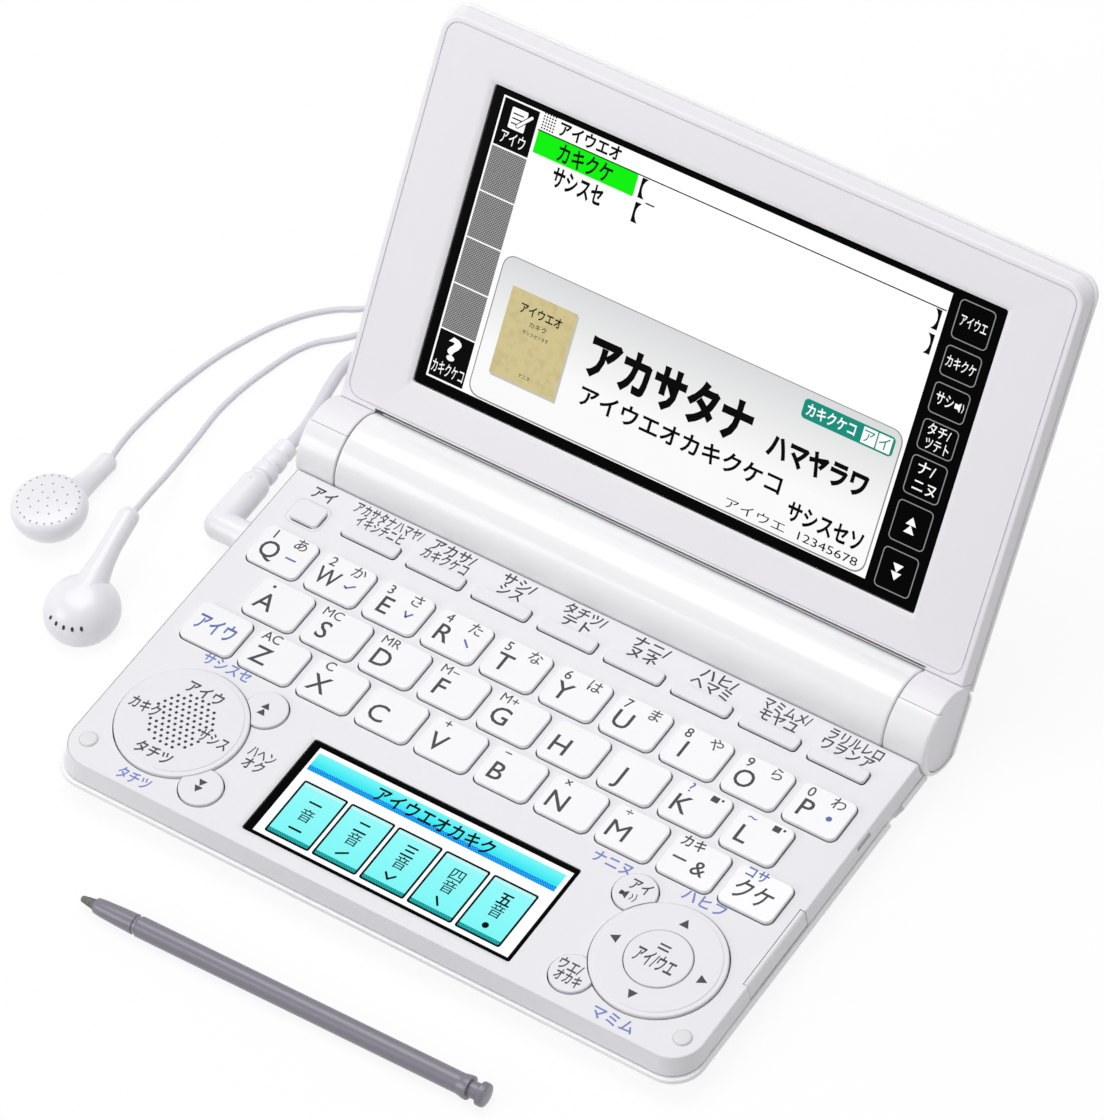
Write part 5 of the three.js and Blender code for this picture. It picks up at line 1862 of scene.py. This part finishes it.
    def corner_legend(self, name: str) -> Marks:
        """Prints the sign of a corner key about the key's middle."""
        marks = Marks()
        dark = Finish.INK
        if name.startswith("page"):
            turned = 0 if name == "page_up" else 180
            for y in (-0.85, 0.75):
                marks.arrow((-0.3, y), (1.9, 1.5), dark, 0, turned)
        elif name == "voice":
            marks.text("アイ", (0.4, 1.4), 2.1, dark, 4.4, bold=0.02)
            marks.bar((-2.6, -1.9), (-1.9, -0.9), dark)
            marks.arrow((-1.6, -1.4), (2.0, 1.4), dark, 0, 90)
            for x in (-0.1, 0.7):
                wave = [(x, -0.7 + x / 3), (x + 0.3, -1.4), (x, -2.1 - x / 3)]
                marks.stroke(wave, 0.2, dark)
        else:
            rows = (("ウエ/", -0.9, 1.1, 2.1, 5.0), ("オカキ", 0.1, -1.5, 2.1, 5.6))
            marks.texts(rows, dark, bold=0.02)
        return marks

    def build(self) -> None:
        """Builds all caps."""
        self.letters()
        self.power()
        self.functions()
        self.left_dial()
        self.right_ring()
        self.enter()
        self.corner_keys()


# ---------------------------------------------------------------- small display and side fittings


@dataclass
class Fittings:
    """The small display, the card cover and the cuts in the right wall."""

    function_places: Sequence[float]
    pad_x: float = 30.5
    pad_y: Pair = (-37.4, -12.9)
    pad_top: float = 9.9
    pad_lip: float = 9.75
    lip_width: float = 1.1
    card_y: Pair = (-19.45, 0.55)
    card_gap: float = 0.16
    bumper_at: Pair = (68.3, -35.75)

    def holes(self) -> Form:
        """Returns the cutter of the display's opening and of the wall's fittings."""
        x, y = about(0, self.pad_x + GAP), wider(self.pad_y, GAP)
        wide_x, wide_y = wider(x, self.lip_width), wider(y, self.lip_width)
        layers = [
            (x, y, DECK.cut_from), (x, y, self.pad_lip), (wide_x, wide_y, DECK.top),
            (wide_x, wide_y, 13.0),
        ]
        pad = Form().stack(layers, 0.5, steps=4).outward()
        card = Form().block((71.28, 76), wider(self.card_y, self.card_gap), (4.0, 13.0))
        slot = Form().block((71.2, 76), (18.9, 23.5), (8.2, 9.5))
        return pad.add(card.outward()).add(slot.outward())

    def pad_marks(self) -> Marks:
        """Draws what the small display shows, in the deck's x and y."""
        marks = Marks()
        black = Finish.PAD_BLACK
        marks.bar((-28.6, 30.0), (-37.0, -14.1), Finish.PAD_PAGE, 0)
        marks.bar((-28.0, 29.0), (-18.4, -15.2), Finish.PAD_HEAD, 1)
        marks.bar((-28.0, 29.0), (-19.7, -18.43), Finish.PAD_BLUE, 1)
        marks.text("アイウエオカキク", (0.3, -17.6), 2.7, black, 27, 3, 0.02)
        signs = (
            ("一", -26.7, [(-1.3, 0), (1.3, 0)]), ("二", -15.75, [(-1.0, -0.6), (1.0, 0.6)]),
            ("三", -4.8, [(-1.2, 0.6), (-0.1, -0.6), (1.0, 0.6)]),
            ("四", 6.15, [(-0.6, 0.8), (0.6, -0.8)]), ("五", 17.15, []),
        )
        for body, left, dots in signs:
            right = left + 10.25
            middle = (left + right) / 2
            inside = (left + 0.45, right - 0.45)
            marks.bar((left, right), (-36.0, -22.0), black, 1, 0.5)
            marks.bar(inside, (-34.7, -23.32), Finish.PAD_CYAN, 2)
            marks.bar(inside, (-23.3, -22.45), Finish.PAD_PALE, 2, 0.2)
            marks.bar(inside, (-35.58, -34.72), Finish.PAD_DEEP, 2, 0.2)
            marks.text(body, (middle, -26.1), 2.3, black, 2.9, 4, 0.02)
            marks.text("音", (middle, -29.2), 2.3, black, 2.9, 4)
            if dots:
                marks.stroke([(middle + x, -32.9 + y) for x, y in dots], 0.45, black, 4)
            else:
                marks.disc((middle, -32.9), 0.7, black, 4)
        return marks

    def display(self) -> None:
        """Builds the small display with what it shows."""
        form = Form().block(about(0, self.pad_x), self.pad_y, (8.3, self.pad_top), 0.3, 3)
        form.outward().level(self.pad_top, 0.15, 2)
        inks = self.pad_marks().onto(form, shift(0, 0, self.pad_top))
        place_piece("display_small", form, [Finish.FILM, *inks], "base", ["touch_pad"])

    def labels(self) -> Marks:
        """Prints the labels on the deck."""
        marks = Marks()
        dark, blue = Finish.INK, Finish.BLUE_INK
        marks.text("アイ", (-63.9, 38.3), 2.3, dark, 5.2, bold=0.02)
        lines = (
            ("アカサタナハマヤ/", 16.0, "イキシチニヒ", 11.0), ("アカサ/", 10.0, "カキクケコ", 10.5),
            ("サシ/", 7.5, "シス", 5.5), ("タチツ/", 9.5, "テト", 6.5), ("ナニ/", 8.0, "ヌネ", 6.5),
            ("ハヒ/", 8.0, "ヘマミ", 9.0), ("マミムメ/", 10.5, "モヤユ", 8.5),
            ("ラリルレロ", 12.0, "ワヲンア", 11.5),
        )
        for x, (upper, wide, lower, less) in zip(self.function_places, lines):
            rows = ((upper, x + 0.2, 39.3, 2.2, wide), (lower, x - 0.2, 36.6, 2.2, less))
            marks.texts(rows, dark, bold=0.018)
        rows = (
            ("サシスセ", -55.4, -7.5, 2.2, 11.0), ("タチツ", -55.2, -39.0, 2.2, 7.4),
            ("ナニヌ", 35.0, -8.5, 2.2, 8.4), ("ハヒフ", 55.0, -7.5, 2.2, 9.2),
            ("マミム", 55.0, -39.0, 2.2, 9.2),
        )
        marks.texts(rows, blue, bold=0.018)
        rows = (("ハヘン", -37.0, -21.7, 2.2, 5.8), ("オク", -37.2, -24.6, 2.2, 4.6))
        marks.texts(rows, dark, bold=0.018)
        return marks

    def deck_marks(self) -> None:
        """Builds the bumpers, with all that is printed on the deck and the painted shade of the
        groove round the power key and round each bumper's foot.
        """
        marks = self.labels()
        form = Form()
        # Painted shade: a thin grey line for the groove round the power key.
        marks.frame((-67.9, -59.7), (29.3, 36.0), 0.12, Finish.GROOVE_SHADE, 1.6)
        foot = DECK.top - 0.1
        rings = [(foot, 1.75), (foot + 0.25, 1.75), (foot + 0.45, 1.55), (foot + 0.5, 1.2)]
        for side in (-1, 1):
            at = (side * self.bumper_at[0], self.bumper_at[1])
            # Painted shade: a grey ring round the bumper's foot.
            marks.disc(at, 1.95, Finish.GROOVE_SHADE, steps=32)
            form.add(Form().post(at, rings, 32))
        inks = marks.onto(form, shift(0, 0, DECK.top))
        place_piece("deck_marks", form, [Finish.RUBBER, *inks], "base", ())

    def card_door(self) -> None:
        """Builds the card cover, part of the deck's edge and wall."""
        edge = [(71.4, 10.3), (71.4, 8.6), (71.3, 6.6), (72.87, 6.6), (72.5, 9.9), (72.1, 10.3)]
        form = Form()
        near, far = self.card_y
        face = form.bm.faces.new([form.bm.verts.new((x, near, z)) for x, z in edge])
        made = bmesh.ops.extrude_face_region(form.bm, geom=[face])["geom"]
        end = [g for g in made if isinstance(g, bmesh.types.BMVert)]
        bmesh.ops.translate(form.bm, vec=(0, far - near, 0), verts=end)
        form.outward().soften(0.15, 2, 25)
        place_piece("card_door", form, [Finish.DECK], "card_cover", ["card_cover"])

    def build(self) -> None:
        """Builds the display, the labels and the card cover."""
        self.display()
        self.deck_marks()
        self.card_door()


# ---------------------------------------------------------------- lid


@dataclass
class LidPieces:
    """The lid's face, its outer shell with the knuckles, and its screen."""

    steps: int = 96
    disc_inner: float = 71.8
    room_inner: float = 71.65
    lip_low: float = 1.2
    lip_side: float = 1.1

    def layer(self, side: float, top: float, heel: float, z: float) -> Layer:
        """Returns an outline of the lid, some way out at the sides and top, and from its heel."""
        return about(0, LID.half_x + side), (heel, LID.top + top), z

    def knuckle(self, side: int, outer: float, edge: float) -> Form:
        """Returns a whole knuckle, flat where the lid's back goes on.

        Args:
            side: -1 for left, 1 for right.
            outer: How far out its end is.
            edge: Edge rounding.

        Returns:
            The knuckle.
        """
        inner, radius = HINGE.knuckle_inner, HINGE.radius
        arc = shoulder(radius, outer, edge, 5)
        profile = [(0, inner), (radius - 0.2, inner), (radius, inner + 0.2), *arc, (0, outer)]
        form = Form().turned(profile, spun(side * TURN / 4, "Y"), self.steps)
        return combined(form, [self.back_room(LID.cover_back - 0.2)])

    def back_room(self, w: float) -> Form:
        """Returns a block that fills all behind a plane of the lid."""
        return Form().block((-80, 80), (-20, 20), (w - 20, w)).outward()

    def end_disc(self, side: int, radius: float, reach: Pair, back: float) -> Form:
        """Returns the flat disc in a knuckle's end, between two reaches and cut by the back."""
        disc = rod(radius, ordered(side * reach[0], side * reach[1]), 0, 0, self.steps)
        return combined(disc, [self.back_room(back)])

    def upper_zone(self, side: int, margin: float) -> Form:
        """Returns the block that the knuckle's upper part lies in."""
        x = ordered(side * 60.0, side * 78.0)
        return Form().block(x, (5.6 - margin, 14.0), (-4.5 - margin, 14.0)).outward()

    def sweep(self, radius: float) -> Form:
        """Returns the room that the barrel takes."""
        return rod(radius, about(0, HINGE.knuckle_inner), 0, 0, self.steps)

    def creases(self) -> list[Form]:
        """Returns the cutters of the fine line between each knuckle and the lid's face."""
        found = []
        for side in (-1, 1):
            for x, z in ((64.4, (LID.face - 0.45, 2.0)), (72.55, (-8.0, LID.face - 0.3))):
                line = Form().block(ordered(side * x, side * 76.0), (9.2, 9.42), z)
                found.append(line.outward())
        return found

    def screen_room(self) -> Form:
        """Returns the cutter of the screen's opening with its bevelled lip."""
        x = about(0, LID.screen_half_x + GAP)
        y = wider((LID.screen_low, LID.screen_high), GAP)
        wide_x, wide_y = wider(x, self.lip_side), (y[0] - self.lip_low, y[1] + self.lip_side)
        layers = [
            (x, y, -9.0), (x, y, LID.face - 0.75), (wide_x, wide_y, LID.face),
            (wide_x, wide_y, 2.0),
        ]
        return Form().stack(layers, 0.5, steps=4).outward()

    def groove(self) -> Form:
        """Returns the cutter of the shallow line round the lid's face."""
        line = Form().block((-71.5, 71.5), (10.3, 91.5), (LID.face - 0.32, 1.0), 3.3, 6)
        inner = Form().block((-71.2, 71.2), (10.6, 91.2), (-3.0, 2.0), 2.9, 6)
        return combined(line.outward(), [inner.outward()])

    def face_piece(self) -> None:
        """Builds the lid's face with the upper parts of the knuckles, and painted shade in the slit
        above the barrel.
        """
        layers = [
            self.layer(LID.flare_side, LID.flare_top, LID.heel, LID.seam),
            self.layer(0, 0, LID.heel, LID.face),
        ]
        form = Form().stack(layers, SQUARE, LID.corner, 8).outward().level(LID.face, 0.4)
        outer = HINGE.knuckle_outer - 0.35
        parts = []
        for side in (-1, 1):
            part = combined(self.knuckle(side, outer, 0.4), [self.upper_zone(side, 0)], "INTERSECT")
            reach = (self.disc_inner, outer - 0.01)
            parts += [part, self.end_disc(side, 8.05, reach, LID.cover_back + 0.9)]
        form = combined(form, parts, "UNION")
        rooms = [self.sweep(10.1), self.screen_room(), self.groove(), *self.creases()]
        form = combined(form, rooms)
        # Painted shade: the faces in the slit along the barrel are dark.
        for face in form.bm.faces:
            middle = face.calc_center_median()
            if abs(middle.x) < 64.1 and math.hypot(middle.y, middle.z) < 10.15:
                face.material_index = 1
        form.moved(lid_place())
        skins = [Finish.FACE, Finish.SHADE_DARK]
        place_piece("lid_face", form, skins, "lid", ["lid_bezel"])

    def shell_piece(self) -> None:
        """Builds the outer cover with the lower parts of the knuckles."""
        steps = (
            (0.25, LID.cover_back), (0.75, LID.cover_back + 0.2), (0.98, LID.cover_back + 0.5),
            (0.98, LID.cover_front),
        )
        layers = [self.layer(out, out + 1.05, 7.8, w) for out, w in steps]
        form = Form().stack(layers, SQUARE, LID.corner, 8).outward().level(LID.cover_front, 0.16)
        knuckles = []
        for side in (-1, 1):
            part = self.knuckle(side, HINGE.knuckle_outer, 0.9)
            room = self.end_disc(side, 8.2, (self.room_inner, 75), LID.cover_back + 0.75)
            knuckles.append(combined(part, [self.upper_zone(side, 0.12), room]))
        form = combined(form, knuckles, "UNION")
        shafts = rod(HINGE.shaft_room, (-71.5, 71.5), 0, 0, 32)
        form = combined(form, [self.sweep(HINGE.clear), shafts])
        form.moved(lid_place())
        place_piece("lid_shell", form, [Finish.WHITE], "lid", ["lid_cover"])

    def column(self, marks: Marks) -> None:
        """Draws the column of cells at the page's left.

        Args:
            marks: The sheet of marks.
        """
        black, white, dither = Finish.BLACK, Finish.PAGE, Finish.DITHER
        cells = (
            (60.0, 69.75, black), (50.15, 59.65, dither), (40.2, 49.85, dither),
            (30.3, 39.9, dither), (20.5, 30.0, dither), (10.2, 20.2, black),
        )
        for low, high, ink in cells:
            marks.bar((-55.4, -47.3), (low, high), ink, 1)
        marks.bar((-53.3, -49.6), (64.2, 68.6), white, 2, 0.3)
        for y in (65.4, 66.4, 67.4):
            marks.bar((-52.8, -50.4), about(y, 0.14), black, 3)
        pen = [(-51.2, 65.2), (-48.6, 67.9)]
        marks.stroke(pen, 0.95, black, 3)
        marks.stroke(pen, 0.6, white, 4)
        marks.text("アイウ", (-51.4, 62.1), 2.2, white, 5.6, 2)
        marks.text("?", (-51.4, 17.0), 4.4, white, 3.0, 2, 0.03)
        marks.text("カキクケコ", (-51.4, 12.4), 2.2, white, 7.4, 2)

    def touch_keys(self, marks: Marks) -> None:
        """Draws the touch keys at the page's right.

        Args:
            marks: The sheet of marks.
        """
        white = Finish.PAGE
        keys = (
            (61.9, 70), (54.2, 60.5), (46.4, 52.8), (38.7, 45.1), (29.4, 37.5), (19.5, 28),
            (9.5, 18),
        )
        for y in keys:
            marks.frame((48.4, 56.3), y, 0.2, Finish.LINE, 1.0)
        rows = (
            ("アイウエ", 52.4, 65.9, 1.9, 5.8), ("カキクケ", 52.4, 57.3, 1.9, 6.4),
            ("サシ", 51.3, 49.7, 2.1, 3.8),
        )
        marks.texts(rows, white, 1)
        marks.bar((53.6, 54.1), (49.1, 50.1), white, 1)
        marks.arrow((54.3, 49.6), (1.9, 1.1), white, 1, 90)
        marks.stroke([(55.3, 50.4), (55.5, 49.6), (55.3, 48.8)], 0.14, white, 1)
        rows = (
            ("タチ/", 52.2, 43.3, 1.9, 5.0), ("ツテト", 52.6, 40.4, 1.9, 5.2),
            ("ナ/", 52.0, 35.3, 2.1, 3.8), ("ニヌ", 52.6, 31.7, 2.1, 5.0),
        )
        marks.texts(rows, white, 1)
        for y, turned in ((23.7, 0), (13.7, 180)):
            for step in (-0.85, 0.85):
                marks.arrow((52.3, y + step), (2.3, 1.7), white, 1, turned)

    def page(self, marks: Marks) -> None:
        """Draws the page in the middle.

        Args:
            marks: The sheet of marks.
        """
        black = Finish.BLACK
        marks.bar((-55.8, 46.5), (9.8, 70.1), Finish.PAGE, 0)
        for i in range(5):
            for j in range(6):
                x, y = about(-46.1 + i * 0.62, 0.17), about(66.95 + j * 0.62, 0.17)
                marks.bar(x, y, black, 1)
        marks.text("アイウエオ", (-35.2, 68.3), 2.3, black, 14.2, 1, 0.03)
        marks.bar((-46.8, 46.3), (66.2, 66.45), black, 1)
        marks.bar((-46.6, -23.3), (61.6, 66.2), Finish.GREEN, 1)
        marks.text("カキクケ", (-35.0, 63.7), 3.0, black, 12.5, 2, 0.02)
        marks.text("サシスセ", (-35.2, 58.7), 3.2, black, 11.5, 1, 0.03)
        for y in (63.8, 58.7):
            marks.text("【", (-21.6, y), 3.0, black, 1.4, 1)
            marks.text("】", (44.8, y), 3.0, black, 1.4, 1)
        marks.bar((-20.2, -18.2), (61.3, 61.6), black, 1)

    def panel(self, marks: Marks) -> None:
        """Draws the rounded panel in the page's lower part.

        Args:
            marks: The sheet of marks.
        """
        black = Finish.BLACK
        marks.bar((-46.2, 45.8), (10.0, 40.4), Finish.LINE, 1, 2.6)
        marks.bar((-45.95, 45.5), (10.35, 40.2), Finish.PANEL, 2, 2.4)
        marks.bar((-42.3, -27.0), (15.6, 34.3), Finish.DIM, 3)
        marks.bar((-42.7, -27.4), (16.0, 34.7), Finish.TAN, 4)
        marks.text("アイウエオ", (-35.0, 31.2), 1.7, black, 9.6, 5, 0.02)
        rows = (
            ("カキク", -35.0, 28.6, 0.9, 4.0), ("サシスセソタチ", -35.0, 26.7, 0.7, 6.0),
            ("ナニヌ", -35.0, 18.0, 0.7, 2.6),
        )
        marks.texts(rows, black, 5)
        marks.text("アカサタナ", (-4.0, 28.1), 6.6, black, 37.5, 3, 0.045)
        marks.text("アイウエオカキクケコ", (1.0, 19.7), 3.2, black, 46.5, 3, 0.022)
        marks.text("ハマヤラワ", (30.2, 26.8), 3.8, black, 22.5, 3, 0.045)
        marks.text("サシスセソ", (35.4, 16.0), 3.1, black, 17.0, 3, 0.03)
        marks.text("アイウエ  12345678", (29.0, 12.1), 1.7, black, 30.0, 3)
        marks.bar((23.8, 44.3), (34.6, 38.7), Finish.TEAL, 3, 0.9)
        marks.text("カキクケコ", (30.2, 36.6), 2.0, Finish.PAGE, 11.0, 4, 0.02)
        for x, body in ((37.2, "ア"), (40.6, "イ")):
            marks.bar((x, x + 3.1), (35.0, 38.3), Finish.PAGE, 4)
            marks.text(body, (x + 1.5, 36.6), 2.1, Finish.TEAL, 2.3, 5)

    def screen(self) -> None:
        """Builds the screen with what it shows."""
        x, y = about(0, LID.screen_half_x), (LID.screen_low, LID.screen_high)
        form = Form().block(x, y, (LID.seam, LID.screen_front), 0.3, 3)
        form.outward().level(LID.screen_front, 0.15, 2)
        marks = Marks()
        self.page(marks)
        self.column(marks)
        self.panel(marks)
        self.touch_keys(marks)
        inks = marks.onto(form, shift(0, LID.print_zero, LID.screen_front))
        form.moved(lid_place())
        skins = [Finish.FILM, *inks]
        place_piece("screen_glass", form, skins, "lid", ["screen_panel"])

    def build(self) -> None:
        """Builds the lid."""
        self.face_piece()
        self.shell_piece()
        self.screen()


# ---------------------------------------------------------------- stylus


@dataclass
class Stylus:
    """The slim pen that lies in front of the base."""

    length: float = 92.3
    radius: float = 2.15
    flare: float = 2.46
    flare_back: float = 4.5
    tip_length: float = 3.41
    at: Pair = (-51.2, -63.05)
    heading: float = 1.1 * DEGREE

    def profile(self) -> list[Pair]:
        """Returns radius and distance pairs from the tip."""
        r, flare = self.radius, self.flare
        return [
            (0, 0), (0.5, 0.06), (0.68, 0.3), (0.78, 1.0), (0.72, 1.15), (0.86, 1.3), (0.98, 2.3),
            (0.92, 2.45), (1.06, 2.6), (1.16, 3.4), (1.5, 3.4), (1.62, 3.6), (1.78, 5.2), (1.98, 9),
            (2.1, 12.5), (1.86, 12.62), (1.86, 13.2), (1.95, 13.4), (r, 13.55), (r, 86.2),
            (2.22, 86.8), (2.36, 87.4), (flare, 87.9), (flare, 88.6), (2.36, 88.7), (1.75, 88.72),
            (1.7, 90.7), (2.3, 90.75), (2.45, 90.9), (2.45, 91.9), (2.3, 92.2), (2.0, self.length),
            (0, self.length),
        ]

    def build(self) -> None:
        """Builds the stylus where it lies."""
        rise = math.asin((self.flare - self.radius) / (self.length - self.flare_back))
        height = self.radius - self.flare_back * math.sin(rise) + 0.05
        place = shift(*self.at, height) @ spun(self.heading, "Z")
        place = place @ spun(-rise, "Y") @ spun(TURN / 4, "Y")
        form = Form().turned(self.profile(), Matrix.Identity(4))
        for face in form.bm.faces:
            if face.calc_center_median().z < self.tip_length:
                face.material_index = 1
        form.moved(place)
        skins = [Finish.STYLUS, Finish.STYLUS_TIP]
        place_piece("stylus_pen", form, skins, "stylus", ["stylus"])


def corners(box: tuple[Vector, Vector]) -> list[list[float]]:
    """Returns a box's two corners as plain lists."""
    return [list(box[0]), list(box[1])]


def main() -> None:
    """Builds the scene."""
    logging.basicConfig(level=logging.INFO, format="%(name)s: %(message)s")
    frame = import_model()
    studio = Studio()
    studio.camera()
    earphones = Earphones()
    earphones.cords()
    earphones.build()
    studio.light()
    studio.floor()
    keys = Keys()
    fittings = Fittings(keys.function_places())
    base = Base()
    base.lower()
    base.upper([*keys.holes(), fittings.holes()])
    base.barrel()
    base.battery_door()
    base.inner_nodes(frame["nodes"])
    keys.build()
    fittings.build()
    LidPieces().build()
    Stylus().build()


if __name__ == "__main__":
    main()
